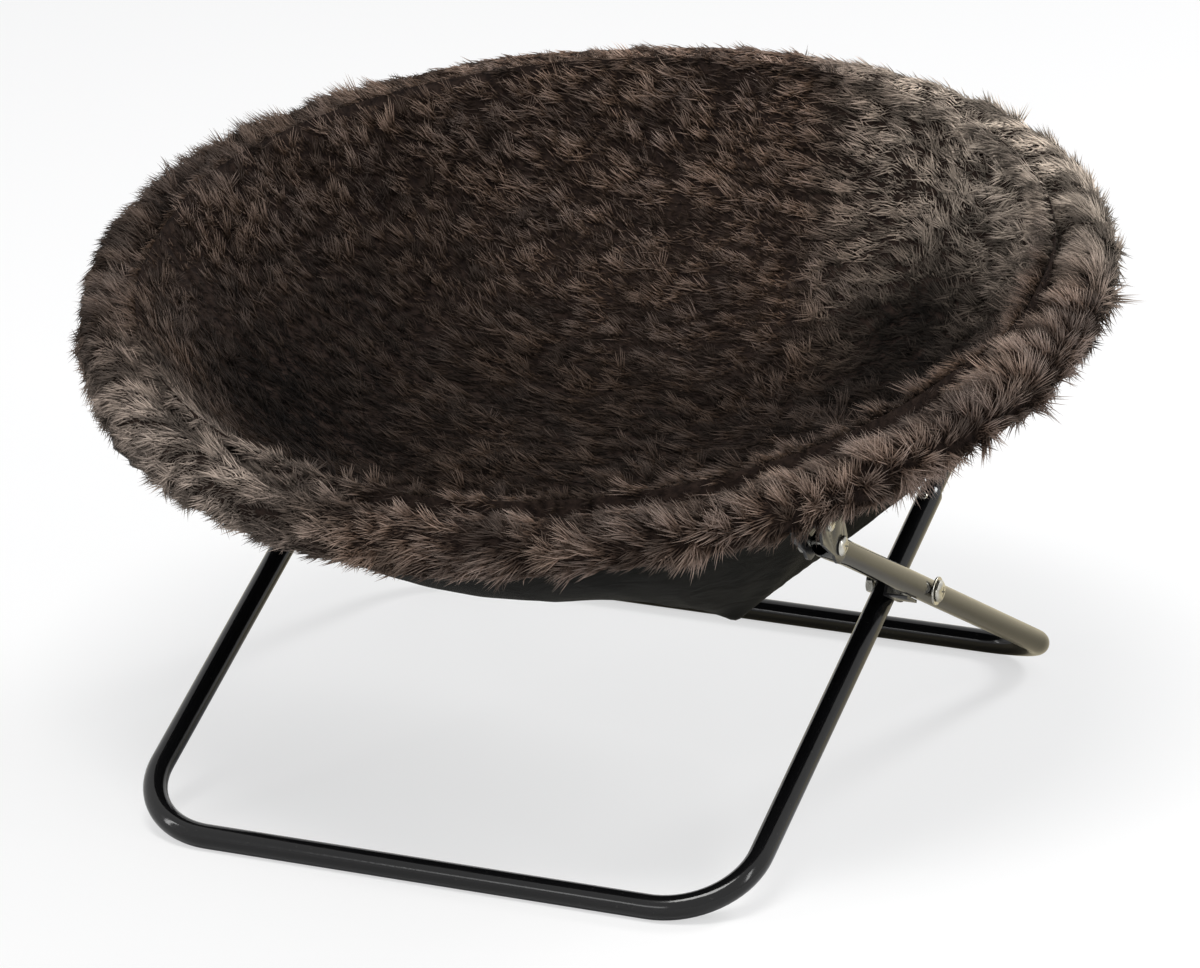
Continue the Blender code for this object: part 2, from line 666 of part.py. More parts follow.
# Cross bolts: the front leg runs inside the rear leg
between = rear_leg_half_width - front_leg_half_width
for side, sign in SIDES:
    out = X_AXIS * sign
    outer_face = cross + out * (rear_leg_half_width + tube_r)
    inner_face = cross + out * (front_leg_half_width - tube_r)
    run = between + 2 * tube_r
    drill_rear = cutter("cross_drill_rear_" + side,
                        cylinder("drill", outer_face + out * overrun,
                                 outer_face - out * (2 * tube_r + gap), bore_r), rear_leg)
    cut(rear_tube, drill_rear)
    drill_front = cutter("cross_drill_front_" + side,
                         cylinder("drill", inner_face - out * overrun,
                                  inner_face + out * (2 * tube_r + gap), bore_r), front_leg)
    cut(front_tube, drill_front)
    washer_face = outer_face + out * gap
    washer = make("cross_washer_" + side,
                  cylinder("washer", washer_face, washer_face + out * washer_thick, washer_radius),
                  rear_leg, ZINC, origin=washer_face)
    cut(washer, cutter("cross_washer_drill_" + side,
                       cylinder("drill", washer_face - out * overrun,
                                washer_face + out * (washer_thick + overrun), bore_r), rear_leg))
    head_face = washer_face + out * (washer_thick + gap)
    length = run + 2 * gap + washer_thick + 2 * gap + nut_thick + bolt_end
    bolt = turned("cross_bolt_" + side, head_face, -out,
                  head(pan_head_shares, bolt_head_thick, bolt_head_radius)
                  + [(0, bolt_radius), (length, bolt_radius)])
    make("cross_bolt_" + side, bolt, rear_leg, ZINC, origin=head_face)
    nut_face = inner_face - out * gap
    nut = make("cross_nut_" + side,
               cylinder("nut", nut_face, nut_face - out * nut_thick, nut_radius, sides=6, turn=math.radians(20)),
               rear_leg, ZINC, origin=nut_face)
    cut(nut, cutter("cross_nut_drill_" + side,
                    cylinder("drill", nut_face + out * overrun, nut_face - out * (nut_thick + overrun), bore_r),
                    rear_leg))
    # stop plate: a cheek against the front leg with a flange under the rear leg's tube
    low_side = -rear_leg_up
    plate_low = stop_plate_low
    under = tube_r / math.cos(math.pi / tube_sides) + gap
    stop_disc_radius = under + stop_plate
    disc = []
    for k in range(9):
        a = math.pi * k / 8
        disc.append(rear_leg_up * (stop_disc_radius * math.cos(a)) - rear_leg_dir * (stop_disc_radius * math.sin(a)))
    cheek = disc + [rear_leg_dir * stop_reach + low_side * stop_disc_radius,
                    rear_leg_dir * stop_reach + low_side * (stop_disc_radius * 0.3)]
    cheek = [(cross.y + p.y, cross.z + p.z) for p in cheek]
    span = sorted((sign * plate_low, sign * rear_leg_half_width))
    plate = make("stop_plate_" + side, prism("stop_plate_" + side, cheek, *span), front_leg, DARK_STEEL,
                 origin=cross + out * plate_low)
    big = stop_reach * 2
    above = [(-big, -big), (big, -big), (big, under), (stop_start, under), (stop_start, big), (-big, big)]
    room_span = sorted((sign * (plate_low + stop_plate), sign * (rear_leg_half_width + overrun)))
    cut(plate, cutter("stop_plate_room_" + side,
                      prism("stop_plate_room_" + side, outline_in(above, cross, rear_leg_dir, low_side),
                            *room_span), front_leg))
    cut(plate, cutter("stop_plate_drill_" + side,
                      cylinder("drill", cross + out * (plate_low - overrun), cross + out * (plate_low + overrun),
                               bore_r), front_leg))
    # spacer between the stop plate and the rear leg's tube
    spacer_low = plate_low + stop_plate + gap
    spacer_high = rear_leg_half_width - tube_r - gap
    spacer = make("cross_spacer_" + side,
                  cylinder("spacer", cross + out * spacer_low, cross + out * spacer_high, tube_r * spacer_share),
                  rear_leg, ZINC, origin=cross + out * spacer_low)
    cut(spacer, cutter("cross_spacer_drill_" + side,
                       cylinder("drill", cross + out * (spacer_low - overrun),
                                cross + out * (spacer_high + overrun), bore_r), rear_leg))
    # rivet that fixes the thin tube in the leg tube, on the arm's upper side
    spot = front_foot + front_leg_dir * (lower_tube_run - rivet_from_end) + out * front_leg_half_width
    top = spot + front_leg_up * (tube_r / math.cos(math.pi / tube_sides) + gap)
    deep = 2 * tube_wall + 3 * gap + extension_r * stub_share
    hole = cutter("extension_rivet_drill_" + side,
                  cylinder("drill", top + front_leg_up * overrun, top - front_leg_up * (deep + gap),
                           rivet_radius + gap), front_leg)
    cut(front_tube, hole)
    cut(extensions[side], hole)
    rivet = turned("extension_rivet_" + side, top, -front_leg_up,
                   head(rivet_head_shares, rivet_head_thick, rivet_head_radius)
                   + [(0, rivet_radius), (deep, rivet_radius)])
    make("extension_rivet_" + side, rivet, front_leg, ZINC, origin=top)

# Padded rim, cut off in the hinge plane and over the brackets
room = 2 * hoop_radius
for front, mesh, holder in ((True, roll_front, front_half), (False, roll_rear, rear_half)):
    name = "rim_roll_front" if front else "rim_roll_rear"
    roll = make(name, mesh, holder, PLUSH, smooth=60)
    face = hinge.y - gap / 2 if front else hinge.y + gap / 2
    far = face + room if front else face - room
    ys = sorted((face, far))
    low, high = hinge.z - room, hinge.z + room
    block = [(ys[0], low), (ys[1], low), (ys[1], high), (ys[0], high)]
    cut(roll, cutter(name + "_trim", prism(name + "_trim", block, -room, room), holder))
    for pocket in pockets[front]:
        cut(roll, pocket)


roll_inside = hoop_radius - roll_radius / math.cos(math.pi / roll_sides)
pad_edge_radius = roll_inside * math.cos(math.pi / roll_steps / 2) - gap
seat_flat_radius = pad_edge_radius + seat_flat_past


def seat_drop(x, along):
    """Depth of the pad's underside below the hoop's plane."""
    radius = math.hypot(x, along - hoop_centre_back)
    return seat_depth * (1 - (radius / seat_flat_radius) ** seat_power)




def half_disc(front, edge_radius, arc_steps, ring_steps):
    """Grid of a half seat as (x, along) places, from the middle of the hinge line outward."""
    rings = []
    for i in range(1, ring_steps + 1):
        share = i / ring_steps
        ring = []
        for k in range(arc_steps + 1):
            a = math.pi * k / arc_steps
            if front:
                a = -a
            c, s = math.cos(a), math.sin(a)
            reach = hoop_centre_back * s + math.sqrt(edge_radius ** 2 - (hoop_centre_back * c) ** 2)
            ring.append((share * reach * c, share * reach * s))
        rings.append(ring)
    return rings


def half_shell(name, front, edge_radius, arc_steps, ring_steps, top_of, bottom_of):
    """A closed sheet over a half disc between two surfaces given as drops below the hoop's plane."""
    bm = bmesh.new()
    rings = half_disc(front, edge_radius, arc_steps, ring_steps)
    step = -gap / 2 if front else gap / 2

    down = front_down if front else rear_down

    def vert(x, along, drop):
        # straight down at the hinge line, square to the half's plane further out
        share = min(abs(along) / seat_turn_run, 1)
        way = Vector((0, 0, -1)).lerp(down, share)
        place = in_plane(x, along, 0, front) + way * drop
        return bm.verts.new((place.x, place.y + step, place.z))

    middles = []
    layers = []
    for surface in (top_of, bottom_of):
        middles.append(vert(0, 0, surface(0, 0)))
        layers.append([[vert(x, along, surface(x, along)) for x, along in ring] for ring in rings])
    for middle, layer in zip(middles, layers):
        first = layer[0]
        for k in range(arc_steps):
            bm.faces.new((middle, first[k], first[k + 1]))
        for low, high in zip(layer, layer[1:]):
            for k in range(arc_steps):
                bm.faces.new((low[k], low[k + 1], high[k + 1], high[k]))
    top, bottom = layers
    for k in range(arc_steps):
        bm.faces.new((top[-1][k], top[-1][k + 1], bottom[-1][k + 1], bottom[-1][k]))
    for end in (0, -1):
        chain_top = [middles[0]] + [ring[end] for ring in top]
        chain_bottom = [middles[1]] + [ring[end] for ring in bottom]
        for k in range(len(chain_top) - 1):
            bm.faces.new((chain_top[k], chain_top[k + 1], chain_bottom[k + 1], chain_bottom[k]))
    return finish_mesh(name, bm)


def edge_share(x, along):
    return min(math.hypot(x, along - hoop_centre_back) / pad_edge_radius, 1)


def pad_bottom(x, along):
    return seat_drop(x, along)


def pad_top(x, along):
    """The pad swells up the side of the hollow and is drawn in at the rim."""
    share = edge_share(x, along)
    swell = pad_crown * math.sin(math.pi * share ** 2) ** 2
    edge = seat_drop(pad_edge_radius, hoop_centre_back)
    rim_fill = (edge - pad_thick + pad_edge_rise) * share ** 8
    return seat_drop(x, along) - pad_thick - swell - rim_fill


def cloth_sag(x, along):
    """The loose cloth hangs to a corner at the right front, with folds that run to it."""
    dx, dy = x - tip_x, along - tip_y
    far = math.hypot(dx, dy)
    sag = tip_sag * max(0, 1 - far / tip_reach) ** 1.4
    turn = math.atan2(dy, dx)
    near = min(far / (tip_reach / 4), 1)
    edge = max(0, 1 - edge_share(x, along) ** 6)
    sag += fold_height * near * math.exp(-(far / fold_reach) ** 2) * (1 + math.cos(fold_count * turn)) * edge
    side = math.hypot(x - left_x, along - left_y)
    sag += left_sag * max(0, 1 - side / left_reach) ** 1.5
    return sag * edge


def cloth_top(x, along):
    share = edge_share(x, along)
    return pad_bottom(x, along) + 2 * gap + cloth_edge_drop * share ** 6 + cloth_sag(x, along)


def cloth_bottom(x, along):
    return cloth_top(x, along) + cloth_thick


for front, holder in ((True, front_half), (False, rear_half)):
    half = "front" if front else "rear"
    name = "seat_pad_" + half
    make(name, half_shell(name, front, pad_edge_radius, seat_arc_steps, seat_ring_steps, pad_top, pad_bottom),
         holder, PLUSH_SEAT, smooth=60)
    name = "under_cloth_" + half
    make(name, half_shell(name, front, pad_edge_radius, seat_arc_steps, seat_ring_steps,
                          cloth_top, cloth_bottom), holder, CLOTH, smooth=60)
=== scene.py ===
import json
import random
from math import acos, asin, atan2, cos, exp, hypot, pi, radians, sin, sqrt

import bmesh
import bpy
from mathutils import Matrix, Vector, noise


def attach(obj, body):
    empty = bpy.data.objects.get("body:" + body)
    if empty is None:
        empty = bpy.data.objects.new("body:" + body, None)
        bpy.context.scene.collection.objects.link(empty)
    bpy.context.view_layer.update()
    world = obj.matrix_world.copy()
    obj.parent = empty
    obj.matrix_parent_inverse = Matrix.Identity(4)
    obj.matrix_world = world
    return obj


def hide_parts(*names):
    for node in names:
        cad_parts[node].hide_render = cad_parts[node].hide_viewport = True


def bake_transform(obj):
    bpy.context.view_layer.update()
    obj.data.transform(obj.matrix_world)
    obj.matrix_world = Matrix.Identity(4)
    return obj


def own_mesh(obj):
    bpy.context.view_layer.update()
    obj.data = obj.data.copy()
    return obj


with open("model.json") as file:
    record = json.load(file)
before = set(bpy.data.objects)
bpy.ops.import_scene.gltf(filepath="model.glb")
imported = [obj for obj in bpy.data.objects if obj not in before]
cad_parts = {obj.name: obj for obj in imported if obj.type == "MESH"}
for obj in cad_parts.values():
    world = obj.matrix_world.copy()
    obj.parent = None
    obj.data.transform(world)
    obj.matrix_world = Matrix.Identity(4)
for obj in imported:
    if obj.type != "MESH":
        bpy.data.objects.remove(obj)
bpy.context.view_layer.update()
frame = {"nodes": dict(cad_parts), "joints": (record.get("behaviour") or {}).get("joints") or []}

nodes = frame["nodes"]
places = {joint["name"]: Vector(joint["pos_m"]) for joint in frame["joints"]}
hinge = places["hoop_fold"]
front_pin = places["rear_leg_fold"]
cross = places["leg_cross"]

# Sizes in metres, as in the CAD source; front_leg_x and rear_leg_x are the arms' places in x
gap = 0.0003
tube_r = 0.00635
tube_wall = 0.0007
foot_reach = 0.2154
cross_height = 0.1116
corner_radius = 0.0445
tube_past_cross = 0.0693
front_pin_run = 0.1590
end_past_pin = 0.0062
extension_overlap = 0.0450
extension_run = 0.1270
extension_bend_r = 0.0508
hoop_radius = 0.2540
hoop_back = 0.0315
front_tilt = radians(16.4)
rear_tilt = radians(10.0)
front_past_pin = 0.0070
hinge_slack = 0.0035
rear_pin_drop = 0.0292
rear_pin_inset = 0.0102
cross_bolt_drop = 0.0125
rivet_from_end = 0.0095
bracket_plate = 0.0015
washer_thick = 0.0010
front_leg_x = 0.1655
rear_leg_x = 0.1851
extension_r = tube_r - tube_wall - gap
seat_depth = 0.1143
seat_flat_past = 0.0073
pad_thick = 0.0145
pad_crown = 0.0060
pad_edge_rise = 0.0060
seat_turn_run = 0.0900
cloth_edge_drop = 0.0060
cloth_thick = 0.0009
tip_x, tip_y = 0.1050, -0.0680
tip_sag, tip_reach = 0.0340, 0.0900
left_x, left_y = -0.0850, -0.1000
left_sag, left_reach = 0.0050, 0.1000
roll_radius = 0.0187
roll_corner = roll_radius / cos(pi / 12)
pad_edge_r = (hoop_radius - roll_corner) * cos(pi / 48) - gap
seat_flat_r = pad_edge_r + seat_flat_past

# Sizes of the soft cover that only show here
rim_skin_r = 0.0138          # backing of the rolled rim; the pile stands outside it
rim_at_hinge_r = 0.0136      # the least it keeps near the hinge, to cover the channel
hinge_ease = 0.012           # rounds the cover off where the two planes meet
seat_edge = pad_edge_r + 0.0040

X_AXIS = Vector((1, 0, 0))
HALVES = ((True, "front"), (False, "rear"))
arm_angle = atan2(cross_height - tube_r, foot_reach)
foot_to_cross = hypot(foot_reach, cross_height - tube_r)
front_foot = Vector((0, cross.y - foot_reach, tube_r))
rear_foot = Vector((0, cross.y + foot_reach, tube_r))


def plane_dirs(tilt):
    """The ways back and up of a plane that is tilted about X."""
    return Vector((0, cos(tilt), sin(tilt))), Vector((0, -sin(tilt), cos(tilt)))


front_leg_dir, front_leg_up = plane_dirs(arm_angle)
rear_leg_dir, rear_leg_up = (Vector((0, -v.y, v.z)) for v in (front_leg_dir, front_leg_up))
front_back, front_up = plane_dirs(front_tilt)
rear_back, rear_up = plane_dirs(rear_tilt)


def linear(code):
    """A colour written as six hex digits, as linear light."""
    out = []
    for k in (0, 2, 4):
        c = int(code[k:k + 2], 16) / 255
        out.append(c / 12.92 if c <= 0.04045 else ((c + 0.055) / 1.055) ** 2.4)
    return (*out, 1)


def smooth(low, high, value):
    t = min(max((value - low) / (high - low), 0), 1)
    return t * t * (3 - 2 * t)


# Node helpers

def is_socket(value):
    return isinstance(value, bpy.types.NodeSocket)


def tree_of(*values):
    """The node tree that the first socket among the values is in."""
    return next(value.id_data for value in values if is_socket(value))


def feed(node, key, value):
    """Set an input of a node, or link it to the socket that feeds it."""
    if is_socket(value):
        node.id_data.links.new(value, node.inputs[key])
    else:
        node.inputs[key].default_value = value


def put(tree, kind, inputs=None, **settings):
    """Add a node; inputs are values or the sockets that feed them."""
    made = tree.nodes.new(kind)
    for key, value in settings.items():
        setattr(made, key, value)
    for key, value in (inputs or {}).items():
        feed(made, key, value)
    return made


def calc(kind, a, b):
    return put(tree_of(a, b), "ShaderNodeMath", {0: a, 1: b}, operation=kind).outputs[0]


def times(a, b):
    return calc("MULTIPLY", a, b)


def vector(kind, *operands, **more):
    inputs = {**dict(enumerate(operands)), **more}
    made = put(tree_of(*operands), "ShaderNodeVectorMath", inputs, operation=kind)
    return made.outputs["Value" if kind == "DOT_PRODUCT" else "Vector"]


def scaled(way, size):
    return vector("SCALE", way, Scale=size)


def plus(a, b):
    return vector("ADD", a, b)


def ramp(source, stops):
    made = put(source.id_data, "ShaderNodeValToRGB", {0: source})
    ends = made.color_ramp.elements
    while len(ends) < len(stops):
        ends.new(0.5)
    for end, (place, colour) in zip(ends, stops):
        end.position = place
        end.color = colour
    return made.outputs["Color"]


def span(source, low, high, to_low, to_high, **settings):
    inputs = {0: source, 1: low, 2: high, 3: to_low, 4: to_high}
    return put(source.id_data, "ShaderNodeMapRange", inputs, **settings).outputs[0]


# where a mix node has its two inputs and its result, for each kind of data
MIX_SOCKETS = {"FLOAT": (2, 3, 0), "VECTOR": (4, 5, 1), "RGBA": (6, 7, 2)}


def mixed(share, a, b, kind="MIX", data="RGBA"):
    first, second, result = MIX_SOCKETS[data]
    made = put(tree_of(share, a, b), "ShaderNodeMix", {0: share, first: a, second: b},
               data_type=data, blend_type=kind)
    return made.outputs[result]


def clouds(here, scale, detail, **more):
    """Noise over the object; more sets further inputs of the texture."""
    inputs = {"Vector": here, "Scale": scale, "Detail": detail, **more}
    return put(here.id_data, "ShaderNodeTexNoise", inputs).outputs[0]


def relief(height, strength, distance, over=None):
    """A normal that a height socket raises, over another one if that is given."""
    inputs = {"Strength": strength, "Distance": distance, "Height": height}
    if over is not None:
        inputs["Normal"] = over
    return put(height.id_data, "ShaderNodeBump", inputs).outputs[0]


def new_finish(name, **fixed):
    """A material, its shader and its object coordinates; fixed are inputs of the shader."""
    mat = bpy.data.materials.new(name)
    mat.use_nodes = True
    shader = mat.node_tree.nodes["Principled BSDF"]
    for key, value in fixed.items():
        shader.inputs[key.replace("_", " ")].default_value = value
    return mat, shader, put(mat.node_tree, "ShaderNodeTexCoord").outputs["Object"]


def dress(shader, colour, rough, normal):
    feed(shader, "Base Color", colour)
    feed(shader, "Roughness", rough)
    feed(shader, "Normal", normal)


# Finishes

def black_enamel():
    mat, shader, here = new_finish("gloss_black_enamel", Specular_IOR_Level=0.34)
    cloudy = clouds(here, 45.0, 4.0)
    dust = span(clouds(here, 620.0, 2.0), 0.68, 0.76, 0.0, 0.35)
    colour = mixed(dust, (0.0042, 0.0042, 0.0046, 1), (0.045, 0.043, 0.040, 1))
    peel = clouds(here, 330.0, 2.0)
    dress(shader, colour, span(cloudy, 0.3, 0.7, 0.08, 0.16), relief(peel, 0.035, 0.001))
    return mat


def bracket_paint():
    mat, shader, here = new_finish("satin_bracket_paint", Coat_Weight=0.2, Coat_Roughness=0.15)
    cloudy = clouds(here, 140.0, 5.0)
    scuff = span(clouds(here, 420.0, 6.0, Roughness=0.7), 0.66, 0.74, 0.0, 0.6)
    colour = mixed(scuff, (0.011, 0.011, 0.0115, 1), (0.10, 0.098, 0.09, 1))
    dress(shader, colour, span(cloudy, 0.3, 0.7, 0.22, 0.38), relief(cloudy, 0.08, 0.0006))
    return mat


def zinc_plate():
    mat, shader, here = new_finish("zinc_plate", Metallic=1.0)
    cloudy = clouds(here, 260.0, 5.0)
    colour = ramp(cloudy, ((0.3, (0.34, 0.33, 0.29, 1)), (0.52, (0.47, 0.46, 0.42, 1)),
                           (0.75, (0.55, 0.52, 0.43, 1))))
    grain = clouds(here, 1500.0, 3.0)
    dress(shader, colour, span(cloudy, 0.3, 0.7, 0.18, 0.34), relief(grain, 0.12, 0.0003))
    return mat


def oxford_cloth():
    """Closely woven black cloth with a faint sheen; the weave follows the cloth's own UV map."""
    mat, shader, here = new_finish("black_oxford_cloth", Sheen_Weight=0.01, Sheen_Roughness=0.4,
                                   Specular_IOR_Level=0.012)
    tree = mat.node_tree
    sheet = put(tree, "ShaderNodeUVMap", uv_map="weave").outputs[0]
    threads_per_metre = 780.0
    wavy = {"Vector": sheet, "Scale": threads_per_metre, "Distortion": 0.4, "Detail": 1.0,
            "Detail Scale": 3.0}
    warp, weft = (put(tree, "ShaderNodeTexWave", wavy, bands_direction=way).outputs[1]
                  for way in ("X", "Y"))
    squares = {"Vector": sheet, "Scale": 2 * threads_per_metre}
    check = put(tree, "ShaderNodeTexChecker", squares).outputs[1]
    woven = mixed(check, warp, weft, data="FLOAT")
    faded = span(clouds(here, 16.0, 5.0), 0.3, 0.75, 0.0, 1.0)
    base = mixed(faded, (0.0036, 0.0035, 0.0028, 1), (0.0095, 0.0090, 0.0070, 1))
    colour = mixed(span(woven, 0.0, 1.0, 0.35, 0.0), base, (0.001, 0.001, 0.001, 1))
    creased = relief(clouds(here, 38.0, 6.0, Distortion=1.2), 0.35, 0.004)
    dress(shader, colour, span(woven, 0.0, 1.0, 0.56, 0.40), relief(woven, 0.35, 0.0002, creased))
    return mat


def plush_backing():
    mat, shader, here = new_finish("plush_backing", Specular_IOR_Level=0.08)
    cloudy = clouds(here, 240.0, 6.0)
    colour = ramp(cloudy, ((0.3, linear("16100e")), (0.7, linear("2e241f"))))
    dress(shader, colour, 0.95, relief(cloudy, 0.8, 0.002))
    return mat


def plush_pile(name, codes, painted_light_share, painted_light_from):
    """Brown pile: dark at the root, paler at the tip, with each lock and patch different."""
    mat, shader, here = new_finish(name, Sheen_Weight=0.01, Sheen_Roughness=0.5,
                                   Specular_IOR_Level=0.04)
    tree = mat.node_tree

    def told(label, output="Fac"):
        return put(tree, "ShaderNodeAttribute", attribute_name=label).outputs[output]

    patch = clouds(here, 24.0, 3.0)
    strand = clouds(here, 900.0, 2.0)
    x, y = put(tree, "ShaderNodeSeparateXYZ", {0: here}).outputs[:2]

    # along the strand, root to tip
    rise = calc("ADD", told("tip"), times(calc("SUBTRACT", strand, 0.5), 0.35))
    tone = ramp(rise, list(zip((0.0, 0.34, 0.70, 1.0), map(linear, codes))))
    warm = mixed(1.0, tone, (1.06, 0.97, 0.86, 1), "MULTIPLY")
    tone = mixed(span(patch, 0.38, 0.62, 0.0, 0.6), tone, warm)

    # painted light: paler and greyer at the right rear and at the left front, where the light
    # falls on the pile
    right_rear = times(calc("MAXIMUM", x, 0.0), y)
    tone = mixed(span(right_rear, painted_light_from, 0.025, 0.0, painted_light_share), tone, linear("b3a698"))
    left_front = times(span(x, -0.10, -0.02, 1.0, 0.0),
                      span(y, -0.19, -0.12, 0.85 * painted_light_share, 0.0))
    tone = mixed(left_front, tone, linear("a3968b"))

    # lighter and darker from lock to lock and from patch to patch; darker where the pile parts, a
    # painted shade in the hollows between clumps
    shade = mixed(0.5, told("shade"), told("tone"), data="FLOAT")
    level = times(span(shade, 0.0, 1.0, 0.80, 1.18), span(patch, 0.3, 0.7, 0.98, 1.20))
    # painted shade: the pile is painted darker where the skin's stored shade value is high, deep
    # in the hollow and on shaded walls, and paler where it is below zero, a painted light on the
    # lit rear
    level = times(level, span(told("painted_shade"), -1.6, 1.6, 1.92, 0.09))
    level = times(level, span(told("parting"), 0.0, 1.0, 1.34, 0.34))
    grey = put(tree, "ShaderNodeCombineColor", {0: level, 1: level, 2: level}).outputs[0]
    colour = mixed(1.0, tone, grey, "MULTIPLY")

    # strands catch the light partly as the whole coat does
    coat = put(tree, "ShaderNodeVectorTransform", {0: told("skin_way", "Vector")},
               vector_type="NORMAL", convert_from="OBJECT", convert_to="WORLD").outputs[0]
    own = put(tree, "ShaderNodeNewGeometry").outputs["Normal"]
    way = vector("NORMALIZE", mixed(0.76, own, coat, data="VECTOR"))
    dress(shader, colour, span(strand, 0.3, 0.7, 0.55, 0.75), way)
    return mat


ENAMEL = black_enamel()
BRACKET = bracket_paint()
ZINC = zinc_plate()
CLOTH = oxford_cloth()
BACKING = plush_backing()
RIM_PILE = plush_pile("brown_plush_pile", ("231b17", "57483f", "88786f", "b4a499"), 0.80, 0.003)
# the seat's pile has the rim's colours painted darker, a painted shade for the hollow of the bowl
SEAT_PILE = plush_pile("shaded_plush_pile", ("17100d", "44372e", "71625a", "9e8e83"), 0.65, 0.007)


# Mesh helpers

def shaded(mesh, sharp_from=None):
    """Smooth shading; edges sharper than the angle in degrees stay sharp."""
    mesh.shade_smooth()
    if sharp_from is not None:
        mesh.set_sharp_from_angle(angle=radians(sharp_from))
    return mesh


def written(name, bm):
    mesh = bpy.data.meshes.new(name)
    bm.to_mesh(mesh)
    bm.free()
    return mesh


def mesh_from(name, bm, sharp_from=None):
    bmesh.ops.recalc_face_normals(bm, faces=bm.faces)
    if bm.calc_volume(signed=True) < 0:
        bmesh.ops.reverse_faces(bm, faces=bm.faces)
    return shaded(written(name, bm), sharp_from)


def in_scene(name, data):
    obj = bpy.data.objects.new(name, data)
    bpy.context.scene.collection.objects.link(obj)
    return obj


helpers = []                 # small shapes that are set out many times; removed at the end


def helper_shape(name, mesh):
    helpers.append(in_scene(name, mesh))
    return helpers[-1]


def piece(name, mesh, body, *coats, replaces=(), slot=None):
    obj = in_scene(name, mesh)
    for coat in coats:
        mesh.materials.append(coat)
    if body:
        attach(obj, body)
    if replaces:
        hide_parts(*replaces)
    return obj


def both(stem):
    return [stem + "_left", stem + "_right"]


def after_modifier(mesh, kind, given=None, **settings):
    """The mesh as a modifier leaves it, as a plain mesh; given are a node group's inputs."""
    draft = in_scene("draft", mesh)
    mod = draft.modifiers.new("step", kind)
    for key, value in settings.items():
        setattr(mod, key, value)
    if given:
        for item in mod.node_group.interface.items_tree:
            if item.in_out == "INPUT" and item.name in given:
                mod[item.identifier] = given[item.name]
    deps = bpy.context.evaluated_depsgraph_get()
    made = bpy.data.meshes.new_from_object(draft.evaluated_get(deps), depsgraph=deps,
                                           preserve_all_data_layers=True)
    bpy.data.objects.remove(draft)
    return made


def strip(low, high, closed=True):
    """Corners of the faces between two rows of vertices; a row of one is a fan's middle."""
    count = max(len(low), len(high))
    for k in range(count if closed else count - 1):
        m = (k + 1) % count
        if len(low) == 1:
            yield low[0], high[k], high[m]
        elif len(high) == 1:
            yield low[k], low[m], high[0]
        else:
            yield low[k], low[m], high[m], high[k]


def bridge(bm, rows, closed=True):
    for low, high in zip(rows, rows[1:]):
        for corners in strip(low, high, closed):
            bm.faces.new(corners)


def round_angles(count):
    return [2 * pi * k / count for k in range(count)]


def arc(centre, radius, start, end, steps):
    angles = [start + (end - start) * k / steps for k in range(steps + 1)]
    return [(centre[0] + radius * cos(a), centre[1] + radius * sin(a)) for a in angles]


def bent_tube(bm, path, normal, radius=tube_r, sides=28, pinch=None):
    """An open round tube along a flat path; pinch(k) gives (along normal, along X) stretch."""
    last = len(path) - 1
    lip = 0.0004
    shells = ([], [])
    for i, point in enumerate(path):
        ahead = path[min(i + 1, last)] - point
        behind = point - path[max(i - 1, 0)]
        ahead = behind if ahead.length == 0 else ahead
        behind = ahead if behind.length == 0 else behind
        tangent = (ahead.normalized() + behind.normalized()).normalized()
        side = normal.cross(tangent).normalized()
        tall, wide = pinch(i) if pinch else (1, 1)
        outside = radius - (lip if i in (0, last) else 0)
        for shell, r in zip(shells, (outside, radius - tube_wall)):
            shell.append([bm.verts.new(point + side * (r * cos(a) * wide)
                                       + normal * (r * sin(a) * tall))
                          for a in round_angles(sides)])
    for shell in shells:
        bridge(bm, shell)
    for end in (0, -1):
        bridge(bm, (shells[0][end], shells[1][end]))


def tube_piece(name, body, stands_for, tubes, **shape):
    """Bent tubes as one enamelled piece; each tube is a (path, normal) pair."""
    bm = bmesh.new()
    for path, normal in tubes:
        bent_tube(bm, path, normal, **shape)
    piece(name, mesh_from(name, bm, 50), body, ENAMEL, replaces=stands_for, slot="gloss_black")


def eased_run(start, end, steps):
    """Distances that crowd towards both ends, so a pinched or lipped end has enough rings."""
    power = 2.2
    out = []
    for k in range(steps + 1):
        t = k / steps
        u = 0.5 * (2 * t) ** power if t < 0.5 else 1 - 0.5 * (2 - 2 * t) ** power
        out.append(start + (end - start) * u)
    return out


# The frame's bent tubes

def leg_path(foot, direction, half_width, run):
    bend = corner_radius
    arm = eased_run(run, bend, 16)[:-1]
    flat = [(-half_width, r) for r in arm]
    flat += arc((-half_width + bend, bend), bend, pi, 1.5 * pi, 18)
    flat += [(x, 0.0) for x in (-0.06, 0.0, 0.06)]
    flat += arc((half_width - bend, bend), bend, -0.5 * pi, 0, 18)
    flat += [(half_width, r) for r in reversed(arm)]
    return [foot + X_AXIS * x + direction * r for x, r in flat]


rear_arm_run = foot_to_cross + front_pin_run + end_past_pin
lower_tube_run = foot_to_cross + tube_past_cross
front_leg_path = leg_path(front_foot, front_leg_dir, front_leg_x, lower_tube_run)
rear_leg_path = leg_path(rear_foot, rear_leg_dir, rear_leg_x, rear_arm_run)


def rear_pinch(i):
    """The rear leg's upper ends are pressed a little flat where they enter the brackets."""
    from_end = rear_arm_run - (rear_leg_path[i] - rear_foot).dot(rear_leg_dir)
    share = 1 - smooth(0.014, 0.034, from_end)
    return 1 + 0.16 * share, 1 - 0.10 * share


tube_piece("front_leg_bent_tube", "front_leg", ["front_leg_tube"],
           [(front_leg_path, front_leg_up)])
tube_piece("rear_leg_bent_tube", "rear_leg", ["rear_leg_tube"],
           [(rear_leg_path, rear_leg_up)], pinch=rear_pinch)


def on_plane(x, along, front):
    """A place on a half hoop's plane: x, and the distance behind the hinge."""
    return Vector((x, 0, 0)) + hinge + (front_back if front else rear_back) * along


def hoop_along(x, front):
    reach = sqrt(hoop_radius ** 2 - x ** 2)
    return hoop_back - reach if front else hoop_back + reach


